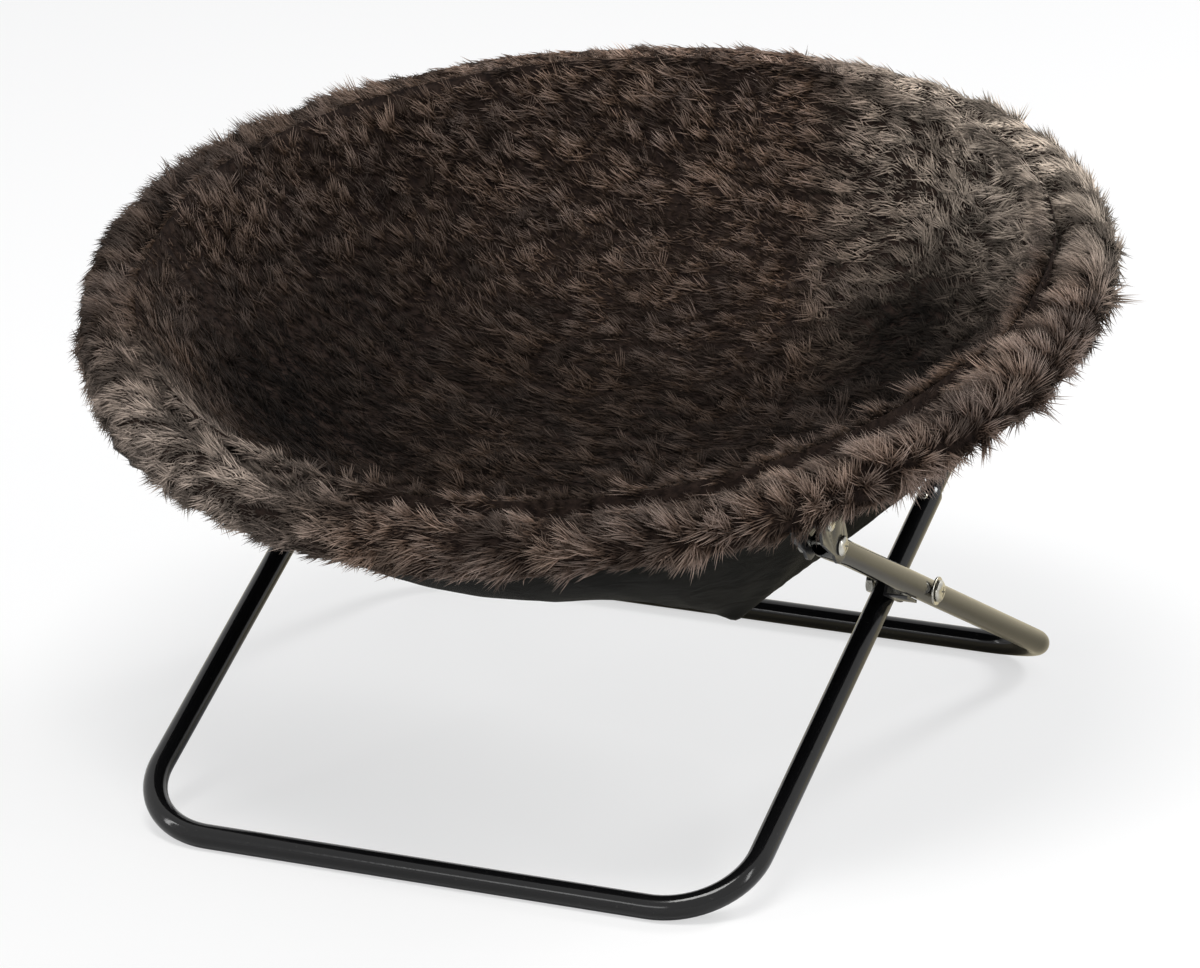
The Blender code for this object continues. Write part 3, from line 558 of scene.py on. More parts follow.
rear_hoop_point = on_plane(0, hoop_along(front_leg_x, False), False)
front_hoop_point = on_plane(0, hoop_along(rear_leg_x, True), True)
rear_pin = rear_hoop_point - rear_back * rear_pin_inset - rear_up * rear_pin_drop


def extension_route():
    """The thin tube's line: straight up the arm, one bend, then straight to the rear pin."""
    start = front_foot + front_leg_dir * (lower_tube_run - extension_overlap)
    bend_at = front_foot + front_leg_dir * (foot_to_cross + extension_run)
    middle = bend_at + front_leg_up * extension_bend_r
    reach = rear_pin - middle
    lead = acos(min(extension_bend_r / reach.length, 1))
    first = arm_angle - 0.5 * pi
    last = atan2(reach.z, reach.y) - lead
    bend = arc((middle.y, middle.z), extension_bend_r, first, last, 20)
    end = rear_pin + Vector((0, -sin(last), cos(last))) * end_past_pin
    return [start] + [Vector((0, y, z)) for y, z in bend] + [end]


extensions = [([p + X_AXIS * (sign * front_leg_x) for p in extension_route()], X_AXIS)
              for sign in (-1, 1)]
tube_piece("leg_extension_tubes", "front_leg", both("leg_extension"), extensions,
           radius=extension_r, sides=24)


def half_turn(front, first=0.0):
    """Angles where a half hoop starts and ends; it starts at a distance behind the hinge."""
    a = asin((first - hoop_back) / hoop_radius)
    return (a, -pi - a) if front else (a, pi - a)


for front, half in HALVES:
    first = front_past_pin if front else front_past_pin + hinge_slack
    flat = arc((0, hoop_back), hoop_radius, *half_turn(front, first), 72)
    path = [on_plane(x, along, front) for x, along in flat]
    tube_piece(half + "_hoop_bent_tube", half + "_half", [half + "_half_hoop"],
               [(path, front_up if front else rear_up)], sides=20)


# Plates: the CAD brackets, stop plates and hinge channels with their edges rounded

def rounded_plate(stem, body, coat, slot, width):
    for name in both(stem):
        bm = bmesh.new()
        bm.from_mesh(nodes[name].data)
        bmesh.ops.remove_doubles(bm, verts=bm.verts, dist=0.00002)
        bmesh.ops.dissolve_limit(bm, angle_limit=radians(1), verts=bm.verts, edges=bm.edges)
        made = after_modifier(written(name + "_rounded", bm), "BEVEL", width=width, segments=2,
                              limit_method="ANGLE", angle_limit=radians(40),
                              harden_normals=True)
        made.materials.clear()
        piece(name + "_plate", shaded(made, 35), body, coat, replaces=[name], slot=slot)


rounded_plate("front_bracket", "front_half", BRACKET, "dark_bracket", 0.0004)
rounded_plate("rear_bracket", "rear_half", BRACKET, "dark_bracket", 0.0004)
rounded_plate("stop_plate", "front_leg", BRACKET, "dark_bracket", 0.0003)
rounded_plate("hinge_channel", "rear_half", ZINC, "zinc", 0.0003)


# Fasteners: each kind is one small shape, set out by Geometry Nodes on points with a direction

def turned_shape(name, sides, outline, recess=None):
    """A closed turned shape along +Z from (height, radius) pairs in millimetres.

    A recess is a cross cut into its top, given as (reach, depth, width).
    """
    bm = bmesh.new()
    outline = [(height / 1000, radius / 1000) for height, radius in outline]
    rings = []
    for height, radius in outline:
        rings.append([bm.verts.new((radius * cos(a), radius * sin(a), height))
                      for a in round_angles(sides if radius else 1)])
    bridge(bm, rings)
    for ring in (rings[0], rings[-1]):
        if len(ring) > 1:
            bm.faces.new(ring)
    mesh = mesh_from(name, bm, 35)
    if recess:
        reach, depth, width = (size / 1000 for size in recess)
        top = max(height for height, radius in outline)
        tool = bmesh.new()
        # the second slot stands a hair higher, so no two faces of the tool lie in one plane
        for turn, lift in ((0, 0), (pi / 2, 0.00002)):
            slot = bmesh.ops.create_cube(tool, size=1)["verts"]
            bmesh.ops.scale(tool, verts=slot, vec=(2 * reach, width, 2 * depth))
            bmesh.ops.rotate(tool, verts=slot, matrix=Matrix.Rotation(turn, 3, "Z"))
            bmesh.ops.translate(tool, verts=slot, vec=(0, 0, top + lift))
        blade = in_scene("blade", written("blade", tool))
        mesh = shaded(after_modifier(mesh, "BOOLEAN", object=blade, operation="DIFFERENCE",
                                     solver="EXACT", use_self=True), 35)
        bpy.data.objects.remove(blade)
    return helper_shape(name, mesh)


def hex_nut(name, radius, thick, hole):
    """A hexagon nut with chamfered corners, its flats at the given radius."""
    bm = bmesh.new()
    face = radius * 0.95
    lip = 0.0002
    rings = [[] for _ in range(6)]
    for a in round_angles(36):
        corner = radius / cos(a % (pi / 3) - pi / 6)
        drop = (corner - radius) * 0.55
        outline = ((face, 0), (corner, drop), (corner, thick - drop), (face, thick),
                   (hole, thick - lip), (hole, lip))
        for ring, (r, height) in zip(rings, outline):
            ring.append(bm.verts.new((r * cos(a), r * sin(a), height)))
    bridge(bm, rings + rings[:1])
    return helper_shape(name, mesh_from(name, bm, 30))


def new_group(name, **inputs):
    """A Geometry Nodes group that takes the named sockets and gives one geometry."""
    tree = bpy.data.node_groups.new(name, "GeometryNodeTree")
    for label, kind in inputs.items():
        tree.interface.new_socket(label, in_out="INPUT", socket_type="NodeSocket" + kind)
    tree.interface.new_socket("Made", in_out="OUTPUT", socket_type="NodeSocketGeometry")
    return tree, tree.nodes.new("NodeGroupInput").outputs


def carried(tree, name, kind):
    """An attribute that the points or the skin carry."""
    inputs = {"Name": name}
    return put(tree, "GeometryNodeInputNamedAttribute", inputs, data_type=kind).outputs[0]


def chance(tree, low, high, seed):
    inputs = {2: low, 3: high, "Seed": seed}
    return put(tree, "FunctionNodeRandomValue", inputs, data_type="FLOAT").outputs[1]


def placed_on(points, shape, turn, scale):
    """Copies of an object on points."""
    tree = points.id_data
    copy = put(tree, "GeometryNodeObjectInfo", {"Object": shape}).outputs["Geometry"]
    return put(tree, "GeometryNodeInstanceOnPoints",
               {"Points": points, "Instance": copy, "Rotation": turn, "Scale": scale}).outputs[0]


def real_with(copies, finish):
    """Copies made plain geometry, with their finish."""
    tree = copies.id_data
    real = put(tree, "GeometryNodeRealizeInstances", {0: copies}).outputs[0]
    inputs = {"Geometry": real, "Material": finish}
    return put(tree, "GeometryNodeSetMaterial", inputs).outputs[0]


def fastener_tree():
    tree, given = new_group("set_out_fasteners", Points="Geometry", Shape="Object", Turn="Float")
    points = put(tree, "GeometryNodeMeshToPoints", {"Mesh": given["Points"]}).outputs[0]
    way = carried(tree, "way", "FLOAT_VECTOR")
    aim = put(tree, "FunctionNodeAlignRotationToVector", {"Vector": way}, axis="Z")
    # each one is turned a little differently, as hand-driven screws are
    spin_by = times(chance(tree, 0.0, 6.28, 7), given["Turn"])
    spin = put(tree, "FunctionNodeAxisAngleToRotation", {"Axis": (0, 0, 1), "Angle": spin_by})
    turned = put(tree, "FunctionNodeRotateRotation", {0: aim.outputs[0], 1: spin.outputs[0]},
                 rotation_space="LOCAL").outputs[0]
    placed = placed_on(points, given["Shape"], turned, (1, 1, 1))
    put(tree, "NodeGroupOutput", {0: real_with(placed, ZINC)})
    return tree


FASTENERS = fastener_tree()


def set_out(name, body, stems, shape, spots, turn=1.0):
    """Zinc fasteners as one piece; a spot is a (place, way) pair, and way is the shape's +Z."""
    mesh = bpy.data.meshes.new(name + "_points")
    mesh.from_pydata([tuple(place) for place, way in spots], [], [])
    ways = mesh.attributes.new("way", "FLOAT_VECTOR", "POINT")
    for k, (place, way) in enumerate(spots):
        ways.data[k].vector = way
    made = after_modifier(mesh, "NODES", {"Shape": shape, "Turn": turn}, node_group=FASTENERS)
    made.materials.clear()
    stands_for = [node for stem in stems for node in both(stem)]
    piece(name, made, body, ZINC, replaces=stands_for, slot="zinc")


def pair(middle, reach, way=None, outward=1):
    """A left and a right spot; they point sideways, or all the given way."""
    return [(middle + X_AXIS * (sign * reach), way or X_AXIS * (sign * outward))
            for sign in (-1, 1)]


# outlines in millimetres, from the end of the shank to the top of the head
bolt_r, screw_r, rivet_r = 2.5, 2.0, 1.4
pan_head = turned_shape("pan_head_bolt", 28, (
    (-29, 0), (-29, 1.8), (-28.3, bolt_r), (0, bolt_r), (0, 5.5), (0.4, 5.8), (1.1, 5.7),
    (1.8, 4.9), (2.4, 3.6), (2.6, 2.0), (2.6, 0)), recess=(2.6, 1.2, 0.9))
pivot_bolt = turned_shape("pivot_bolt", 28, (
    (-22.2, 0), (-22.2, 1.8), (-21.5, bolt_r), (0, bolt_r), (0, 4.9), (0.4, 5.2), (1.0, 5.0),
    (1.7, 4.2), (2.4, 2.8), (2.6, 1.4), (2.6, 0)), recess=(2.4, 1.1, 0.9))
screw_head = turned_shape("screw_head", 20, (
    (-5, 0), (-5, screw_r), (0, screw_r), (0, 4.0), (0.3, 4.2), (0.9, 3.8), (1.4, 2.6),
    (1.6, 1.4), (1.6, 0)), recess=(2.0, 0.8, 0.7))
dome_rivet = turned_shape("dome_rivet", 20, (
    (-3.4, 0), (-3.4, rivet_r), (0, rivet_r), (0, 2.1), (0.5, 2.0), (1.0, 1.4), (1.2, 0.6),
    (1.2, 0)))
pivot_rivet = turned_shape("pivot_rivet", 24, (
    (-2.1, 0), (-2.1, 2.4), (0, 2.5), (0, 4.2), (0.6, 4.1), (1.2, 3.4), (1.6, 2.0), (1.7, 0)))
plain_washer = turned_shape("plain_washer", 32, (
    (0, 2.8), (0, 7.3), (0.2, 7.5), (0.8, 7.5), (1.0, 7.3), (1.0, 2.8)))
cross_pin = turned_shape("cross_pin", 20, (
    (-1.6, 0), (-1.6, 2.4), (-0.8, 3.7), (0, 3.8), (0, screw_r), (17.29, screw_r),
    (17.29, 3.8), (18.09, 3.7), (18.89, 2.4), (18.89, 0)))
nut = hex_nut("hex_nut", 0.0052, 0.0040, 0.0026)

tube_corner = tube_r / cos(pi / 12)
head_seat = tube_corner + gap + bracket_plate + gap    # a tube's middle to a head on its bracket
cross_seat = tube_r + gap
front_down = -front_up
rear_down = -rear_up

set_out("cross_bolts", "rear_leg", ["cross_bolt"], pan_head,
        pair(cross, rear_leg_x + cross_seat + washer_thick + gap))
set_out("cross_washers", "rear_leg", ["cross_washer"], plain_washer,
        pair(cross, rear_leg_x + cross_seat))
set_out("cross_nuts", "rear_leg", ["cross_nut"], nut,
        pair(cross, front_leg_x - cross_seat, outward=-1), turn=0.35)
set_out("front_pivot_bolts", "front_half", ["front_pin_bolt"], pivot_bolt,
        pair(front_pin, rear_leg_x + head_seat))
set_out("front_pivot_nuts", "front_half", ["front_pin_nut"], nut,
        pair(front_pin, rear_leg_x - head_seat, outward=-1), turn=0.5)
set_out("bracket_cross_pins", "front_half", ["bracket_cross_bolt"], cross_pin,
        pair(front_hoop_point + front_down * cross_bolt_drop - X_AXIS * head_seat,
             rear_leg_x, X_AXIS))
set_out("front_bracket_screws", "front_half", ["front_bracket_screw"], screw_head,
        pair(front_hoop_point + front_down * head_seat, rear_leg_x, front_down))
set_out("rear_bracket_screws", "rear_half", ["rear_bracket_screw"], screw_head,
        pair(rear_hoop_point + rear_down * head_seat, front_leg_x, rear_down))
left_ears, right_ears = (pair(rear_pin + X_AXIS * (sign * front_leg_x), head_seat)
                         for sign in (-1, 1))
set_out("rear_pivot_rivets", "rear_half", ["rear_pin_rivet_inner", "rear_pin_rivet_outer"],
        pivot_rivet, left_ears[::-1] + right_ears)
set_out("extension_rivets", "front_leg", ["extension_rivet"], dome_rivet,
        pair(front_foot + front_leg_dir * (lower_tube_run - rivet_from_end)
             + front_leg_up * tube_corner, front_leg_x, front_leg_up))

for stem in ("hinge_pin", "hinge_rivet", "cross_spacer"):
    for name in both(stem):
        for entry in nodes[name].material_slots:
            entry.material = ZINC


# The soft cover lies on both halves; near the hinge the two planes are joined by an easy curve

cos_f, sin_f = cos(front_tilt), sin(front_tilt)
cos_r, sin_r = cos(rear_tilt), sin(rear_tilt)


def from_hinge(along):
    """The distance from the hinge line, rounded off near it."""
    return sqrt(along ** 2 + hinge_ease ** 2)


def cover_tilt(along):
    share = 0.5 + 0.5 * along / from_hinge(along)
    return front_tilt + (rear_tilt - front_tilt) * share


def cover_place(x, along, rise=0.0):
    bow = from_hinge(along) - hinge_ease
    tilt = cover_tilt(along)
    y = along * (cos_f + cos_r) / 2 + bow * (cos_r - cos_f) / 2
    z = along * (sin_f + sin_r) / 2 + bow * (sin_r - sin_f) / 2
    return hinge + Vector((x, y - rise * sin(tilt), z + rise * cos(tilt)))


def seat_place(x, along, drop):
    """A place below the hoop's plane: straight down at the hinge, square to it further out."""
    share = smooth(0, 1, min(abs(along) / seat_turn_run, 1))
    tilt = cover_tilt(along)
    down = Vector((0, sin(tilt), -cos(tilt)))
    return cover_place(x, along) + Vector((0, 0, -1)).lerp(down, share) * drop


def seat_radius(x, along):
    return hypot(x, along - hoop_back)


def seat_drop(radius):
    return seat_depth * (1 - (radius / seat_flat_r) ** 4)


def edge_share(radius):
    return min(radius / pad_edge_r, 1)


def pad_top(radius):
    """How far under the hoop's plane the pad's upper side is."""
    share = edge_share(radius)
    swell = pad_crown * sin(pi * share ** 2) ** 2
    rim_fill = (seat_drop(pad_edge_r) - pad_thick + pad_edge_rise) * share ** 8
    return seat_drop(radius) - pad_thick - swell - rim_fill


def seat_rings(front, radius, arc_steps, ring_steps):
    """Rows of (x, along) places over a half seat, from the hinge line's middle outward."""
    rings = []
    for share in (i / ring_steps for i in range(1, ring_steps + 1)):
        ring = []
        for k in range(arc_steps + 1):
            a = pi * k / arc_steps
            a = -a if front else a
            c, s = cos(a), sin(a)
            reach = hoop_back * s + sqrt(radius ** 2 - (hoop_back * c) ** 2)
            ring.append((share * reach * c, share * reach * s))
        rings.append(ring)
    return rings


def lump(p, size, seed=0.0):
    return noise.noise(p / size + Vector((seed, seed * 1.7, -seed)))


def near(value, middle, width):
    return ((value - middle) / width) ** 2


def add_attribute(mesh, name, kind, values):
    made = mesh.attributes.new(name, kind, "POINT")
    if kind == "FLOAT":
        made.data.foreach_set("value", values)
    else:
        made.data.foreach_set("vector", [c for v in values for c in v])


def skin_mesh(name, bm, told):
    """A skin as a mesh; told has each vertex's comb direction, pile length, cover and painted
    shade.
    """
    mesh = mesh_from(name, bm)
    kinds = (("comb", "FLOAT_VECTOR"), ("pile", "FLOAT"), ("cover", "FLOAT"), ("painted_shade", "FLOAT"))
    for (label, kind), values in zip(kinds, zip(*told)):
        add_attribute(mesh, label, kind, values)
    return mesh


def swirled(base, p, amount):
    """The comb direction, swung this way and that over the cover."""
    turn = amount * (lump(p, 0.055, 3.1) + 0.5 * lump(p, 0.022, 8.4))
    lift = amount * 0.8 * lump(p, 0.040, 5.7)
    spun = Matrix.Rotation(turn, 3, "Y") @ Matrix.Rotation(lift, 3, "Z") @ base
    return spun.normalized()


def rim_skin(front):
    """The rim's backing: a closed soft tube round the half hoop."""
    start, end = half_turn(front)
    steps, around = 104, 30
    bm = bmesh.new()
    told = []

    def add(place, comb, length, cover):
        # painted shade on the rim's left side and painted light at its rear, stored for the pile's
        # finish
        left = smooth(0.17, 0.25, -place.x) * smooth(-0.18, -0.04, place.y)
        far = smooth(0.10, 0.19, place.y) * (1 - smooth(0.10, 0.20, -place.x))
        told.append((comb, length, cover, left - 1.35 * far))
        return bm.verts.new(place)

    def rim_vert(phi, psi):
        """A vertex at the angle phi along the hoop and psi round the roll."""
        c, s = cos(phi), sin(phi)
        out, up = cos(psi), sin(psi)
        facing = Vector((out * c, out * s, up))
        along = hoop_back + hoop_radius * s
        by_hinge = 1 - smooth(0.034, 0.060, abs(along))
        probe = cover_place(hoop_radius * c, along) + facing * rim_skin_r

        # thinner and with less pile underneath, at the rear and towards the right front
        under = smooth(-0.15, 0.75, -up - 0.25 * out)
        bare = smooth(0.0, 0.17, probe.x) if front else 1.0
        r = rim_skin_r * (1 + 0.09 * lump(probe, 0.038) + 0.05 * lump(probe, 0.016, 2.0))
        r *= 1 - 0.25 * under * bare * (1 - by_hinge)
        r += max(rim_at_hinge_r - r, 0) * by_hinge
        reach = hoop_radius + r * out
        p = cover_place(reach * c, hoop_back + reach * s, r * up)

        # combed to the left and a little up, less so on the outer side
        fall = max(out, 0) * 0.55 + max(-up, 0) * 0.30 * (1 - bare)
        base = Vector((-1.0, 0.10 - 0.25 * max(out, 0), 0.42 * max(up, 0) + 0.30 - fall))
        base.normalize()
        against = base.dot(facing)
        if against < 0:
            # where the skin faces the comb, the pile is laid along the rim instead
            base += Vector((-s, c, 0)) * (-1.1 * against * (1 if up > -0.3 else -1))
        else:
            base.z -= 0.7 * against
        # along the inner side the pile leans over the seam between the roll and the seat
        over = max(-out, 0) * smooth(-0.5, 0.4, up)
        base += Vector((-c, -s, 0.25)) * (0.75 * over)
        comb = swirled(base.normalized(), p, 0.8)

        length = 1.0 + 0.22 * lump(p, 0.030, 6.0) - under * (0.2 + 0.45 * bare)
        length -= 0.30 * max(against, 0)
        length *= 1 - 0.30 * max(up, 0) * smooth(0.10, 0.20, p.y)
        inner = smooth(0.35, 0.95, -out) * (1 - max(up, 0))
        return add(p, comb, length, 1.15 - 0.55 * inner)

    rings = [[rim_vert(start + (end - start) * i / steps, psi) for psi in round_angles(around)]
             for i in range(steps + 1)]
    bridge(bm, rings)
    for ring in (rings[0], rings[-1]):
        middle = sum((v.co for v in ring), Vector()) / len(ring)
        bridge(bm, (ring, [add(middle, Vector((-1, 0, 0)), 0.01, 0.0)]))
    return skin_mesh("rim_front_skin" if front else "rim_rear_skin", bm, told)


def seat_skin(front):
    """The seat pad's backing, closed underneath, with swells that the pile follows."""
    grid = seat_rings(front, seat_edge, arc_steps=88, ring_steps=46)
    bm = bmesh.new()
    told = []

    def add(x, along, drop, comb, length, cover):
        radius = seat_radius(x, along)
        sideways = (abs(x) + 0.5 * max(x, 0)) / max(radius, 0.02)
        # painted shade for the pile's finish: darker deeper in the hollow, on the steep side
        # walls, at the left and on the right, and paler at the upper rear as painted light
        wall = smooth(0.10, 0.19, radius) * (1 - smooth(0.215, 0.236, radius))
        near_left = exp(-near(x, -0.16, 0.065) - near(along, -0.04, 0.08))
        on_right = exp(-near(x, 0.135, 0.050) - near(along, 0.145, 0.055))
        far = smooth(0.08, 0.19, along) * (1 - smooth(0.08, 0.17, -x)) * (1 - on_right)
        far_right = far * smooth(0.02, 0.10, x)
        painted_shade = (smooth(0.004, 0.085, drop) + 0.35 * wall * sideways ** 2) * (1 - 0.6 * far)
        painted_shade += 0.60 * near_left + 0.60 * on_right - 0.70 * far - 0.45 * far_right
        told.append((comb, length, cover, painted_shade))
        return bm.verts.new(seat_place(x, along, drop))

    def top_vert(x, along):
        radius = seat_radius(x, along)
        probe = seat_place(x, along, seat_drop(radius))
        share = min(radius / seat_edge, 1)
        swell = 0.0022 + 0.0042 * lump(probe, 0.060) + 0.0020 * lump(probe, 0.024, 4.0)
        swell *= 1 - smooth(0.90, 1.0, share)
        # the edge is drawn up against the rim, so the pile closes over the seam
        swell += 0.0045 * smooth(0.84, 0.96, share) * smooth(0.02, 0.05, abs(along))
        comb = swirled(Vector((-1.0, 0.12, 0.45)).normalized(), probe, 0.6)
        # the pile is short at both ends of the hinge line, where the halves meet the rim
        clear = smooth(0.004, 0.026, abs(along) + 3 * max(0.200 - abs(x), 0))
        length = (0.80 + 0.25 * lump(probe, 0.035, 9.0)) * (0.36 + 0.64 * clear)
        return add(x, along, pad_top(radius) - swell, comb, length, 1.0)

    def under_vert(x, along):
        radius = min(seat_radius(x, along), pad_edge_r)
        return add(x, along, seat_drop(radius), Vector((-1, 0, 0)), 0.1, 0.0)

    top, under = ([[make(0, 0)]] + [[make(x, along) for x, along in ring] for ring in grid]
                  for make in (top_vert, under_vert))
    bridge(bm, top, closed=False)
    bridge(bm, under, closed=False)
    bridge(bm, (top[-1], under[-1]), closed=False)
    for end in (0, -1):
        bridge(bm, ([row[end] for row in top], [row[end] for row in under]), closed=False)
    return skin_mesh("seat_front_skin" if front else "seat_rear_skin", bm, told)


def plush_lock():
    """A lock of fine strands that gather towards the tip; one unit tall, bent towards +X."""
    strands = ((1.0, 0.15), (0.76, 0.55), (0.90, 1.0), (0.66, 0.35), (0.83, 0.75), (0.95, 0.0))
    strand_r = 0.00038
    rng = random.Random(11)
    bm = bmesh.new()
    tips, tones = [], []
    for k, (tall, tone) in enumerate(strands):
        a = 2 * pi * (k + 0.5 * rng.random()) / len(strands)
        foot = Vector((cos(a), sin(a), 0)) * (0.0014 + 0.0012 * rng.random())
        lean = Vector((0.0026 + 0.0036 * rng.random(), 0.0040 * (rng.random() - 0.5), 0))
        t = 0.36 + 0.16 * rng.random()
        middle = foot * (1 - 0.30 * t) + lean * t * t
        low = bm.verts.new(foot)
        ring = []
        for b in (a + 2 * pi * m / 3 for m in range(3)):
            side = Vector((strand_r * cos(b), strand_r * sin(b), t * tall))
            ring.append(bm.verts.new(middle + side))
        end = foot * 0.70 + lean
        high = bm.verts.new((end.x, end.y, tall))
        tips += [0.0] + [t * tall] * 3 + [tall]
        tones += [tone] * 5
        for m in range(3):
            n = (m + 1) % 3
            bm.faces.new((low, ring[n], ring[m]))
            bm.faces.new((ring[m], ring[n], high))
    mesh = shaded(written("plush_lock", bm))
    add_attribute(mesh, "tip", "FLOAT", tips)
    add_attribute(mesh, "tone", "FLOAT", tones)
    return helper_shape("plush_lock", mesh)


def pile_tree():
    """Grows locks on a skin: they stand on it, lean with its comb and gather into clumps."""
    tree, given = new_group(
        "grow_plush", Skin="Geometry", Lock="Object", Density="Float", Length="Float",
        Clump="Float", Pull="Float", Stray="Float", Seed="Int", Finish="Material")
    rise, lean, sink = 0.36, 0.95, 0.0012

    thick = times(given["Density"], carried(tree, "cover", "FLOAT"))
    grown = put(tree, "GeometryNodeDistributePointsOnFaces",
                {"Mesh": given["Skin"], "Density": thick, "Seed": given["Seed"]})
    normal = grown.outputs["Normal"]
    here = put(tree, "GeometryNodeInputPosition").outputs[0]

    def laid_flat(way):
        """The part of a direction that lies in the skin."""
        return vector("SUBTRACT", way, scaled(normal, vector("DOT_PRODUCT", way, normal)))

    def clump(size, pull):
        """Pull towards the middle of the cell that the lock is in, and its distance from it."""
        wide = vector("MULTIPLY", here, (0.55, 1.05, 1.25))
        spot = scaled(wide, calc("DIVIDE", 1.0, size))
        cell = put(tree, "ShaderNodeTexVoronoi", {"Vector": spot, "Scale": 1.0},
                   voronoi_dimensions="3D").outputs
        toward = laid_flat(vector("SUBTRACT", cell["Position"], spot))
        return scaled(toward, pull), cell["Distance"]

    def kept(geometry, name, value, kind="FLOAT", domain="POINT"):
        """The geometry with a value stored on it, for the finish to read."""
        inputs = {"Geometry": geometry, "Name": name, "Value": value}
        return put(tree, "GeometryNodeStoreNamedAttribute", inputs, data_type=kind,
                   domain=domain).outputs[0]

    big, off_big = clump(given["Clump"], given["Pull"])
    small, off_small = clump(times(given["Clump"], 0.42), times(given["Pull"], 0.8))
    off_middle = calc("ADD", times(off_big, 0.7), times(off_small, 0.3))
    # parting is 0 in a clump's middle and 1 at its edge; it shortens the locks there, and the
    # finish paints shade with it in the hollows between clumps
    parting = span(off_middle, 0.30, 0.66, 0.0, 1.0, interpolation_type="SMOOTHSTEP")

    # which way a lock stands, and which way its tip hangs
    flat_comb = laid_flat(carried(tree, "comb", "FLOAT_VECTOR"))
    jitter = put(tree, "FunctionNodeRandomValue", {0: (-1, -1, -1), 1: (1, 1, 1), "Seed": 31},
                 data_type="FLOAT_VECTOR").outputs[0]
    aim = plus(plus(scaled(normal, rise), scaled(flat_comb, lean)), plus(big, small))
    aim = plus(aim, scaled(jitter, given["Stray"]))
    droop = plus(plus(flat_comb, scaled(normal, -0.7)), scaled(jitter, 0.7))
    turn = put(tree, "FunctionNodeAxesToRotation", {0: vector("NORMALIZE", aim), 1: droop},
               primary_axis="Z", secondary_axis="X").outputs[0]

    spread = calc("ADD", 1.0, times(chance(tree, -1.0, 1.0, 47), 0.22))
    tall = times(times(given["Length"], spread),
                carried(tree, "pile", "FLOAT"))
    tall = times(tall, calc("SUBTRACT", 1.05, times(parting, 0.30)))
    size = put(tree, "ShaderNodeCombineXYZ", {0: 1.0, 1: 1.0, 2: tall}).outputs[0]

    points = kept(grown.outputs["Points"], "skin_way", normal, "FLOAT_VECTOR")
    points = kept(points, "parting", parting)
    sunk = put(tree, "GeometryNodeSetPosition",
               {"Geometry": points, "Offset": scaled(normal, -sink)}).outputs[0]
    locks = placed_on(sunk, given["Lock"], turn, size)
    locks = kept(locks, "shade", chance(tree, 0.0, 1.0, 83), domain="INSTANCE")
    joined = put(tree, "GeometryNodeJoinGeometry", {0: given["Skin"]})
    feed(joined, 0, real_with(locks, given["Finish"]))
    put(tree, "NodeGroupOutput", {0: joined.outputs[0]})
    return tree


PLUSH = pile_tree()
LOCK = plush_lock()
thin_out = 1.0


def with_pile(skin, finish, **values):
    """A skin mesh with its pile, as one plain mesh; Clump is the size of the larger clumps."""
    skin.materials.append(BACKING)
    given = {"Lock": LOCK, "Finish": finish, **values}
    made = after_modifier(skin, "NODES", given, node_group=PLUSH)
    for spare in ("comb", "pile", "cover"):
        if spare in made.attributes:
            made.attributes.remove(made.attributes[spare])
    return made


for front, half in HALVES:
    body = half + "_half"
    rim = with_pile(rim_skin(front), RIM_PILE, Seed=5 if front else 6, Length=0.0165,
                    Density=150000.0 * thin_out, Clump=0.0135, Pull=0.80, Stray=0.20)
    rim = piece("rim_plush_" + half, rim, None, replaces=["rim_roll_" + half], slot="plush")
    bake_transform(rim)
    seat = with_pile(seat_skin(front), SEAT_PILE, Seed=15 if front else 16, Length=0.0175,
                     Density=112000.0 * thin_out, Clump=0.0105, Pull=0.85, Stray=0.12)
    seat = piece("seat_plush_" + half, seat, body, replaces=["seat_pad_" + half],
                 slot="plush_seat")
    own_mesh(seat)


# The loose black cloth under the seat

def cloth_sag(x, along):
    """The cloth hangs to a corner at the right front; folds run to it and to the brackets."""
    wander = 1.6 * lump(Vector((x, along, 0)), 0.10, 1.3)
    dx, dy = x - tip_x, along - tip_y
    far = hypot(dx, dy)
    turn = atan2(dy, dx)
    fade = smooth(0.010, 0.045, far) * exp(-(far / 0.14) ** 2)
    sag = tip_sag * max(0, 1 - far / tip_reach) ** 1.9
    sag += 0.0050 * fade * (1 - abs(sin(2.5 * turn + 0.9 + wander))) ** 1.8
    sag += 0.0020 * fade * (1 - abs(sin(6.5 * turn + 2.0 * wander))) ** 1.5
    side = hypot(x - left_x, along - left_y)
    sag += left_sag * max(0, 1 - side / left_reach) ** 1.5
    for bracket_x in (rear_leg_x, -rear_leg_x):
        ax, ay = x - bracket_x, along - hoop_along(bracket_x, True)
        fold = 1 - abs(sin(3.5 * atan2(ay, ax) + 1.1 * wander))
        sag += 0.0022 * exp(-(hypot(ax, ay) / 0.10) ** 2) * fold ** 1.5
    return sag * max(0, 1 - edge_share(seat_radius(x, along)) ** 6)


def left_open(x, along, front):
    """Whether the cloth is cut away here: round a bracket, or at the side hinges."""
    if front:
        bracket_x, before, behind = rear_leg_x, 0.014, 0.032
    else:
        bracket_x, before, behind = front_leg_x, 0.032, 0.016
    past = along - hoop_along(bracket_x, front)
    by_bracket = abs(abs(x) - bracket_x) < 0.0125 and -before < past < behind
    margin = 0.006 if by_bracket else 0
    by_edge = seat_radius(x, along) > pad_edge_r - margin
    return by_edge and (by_bracket or abs(along) < 0.026)


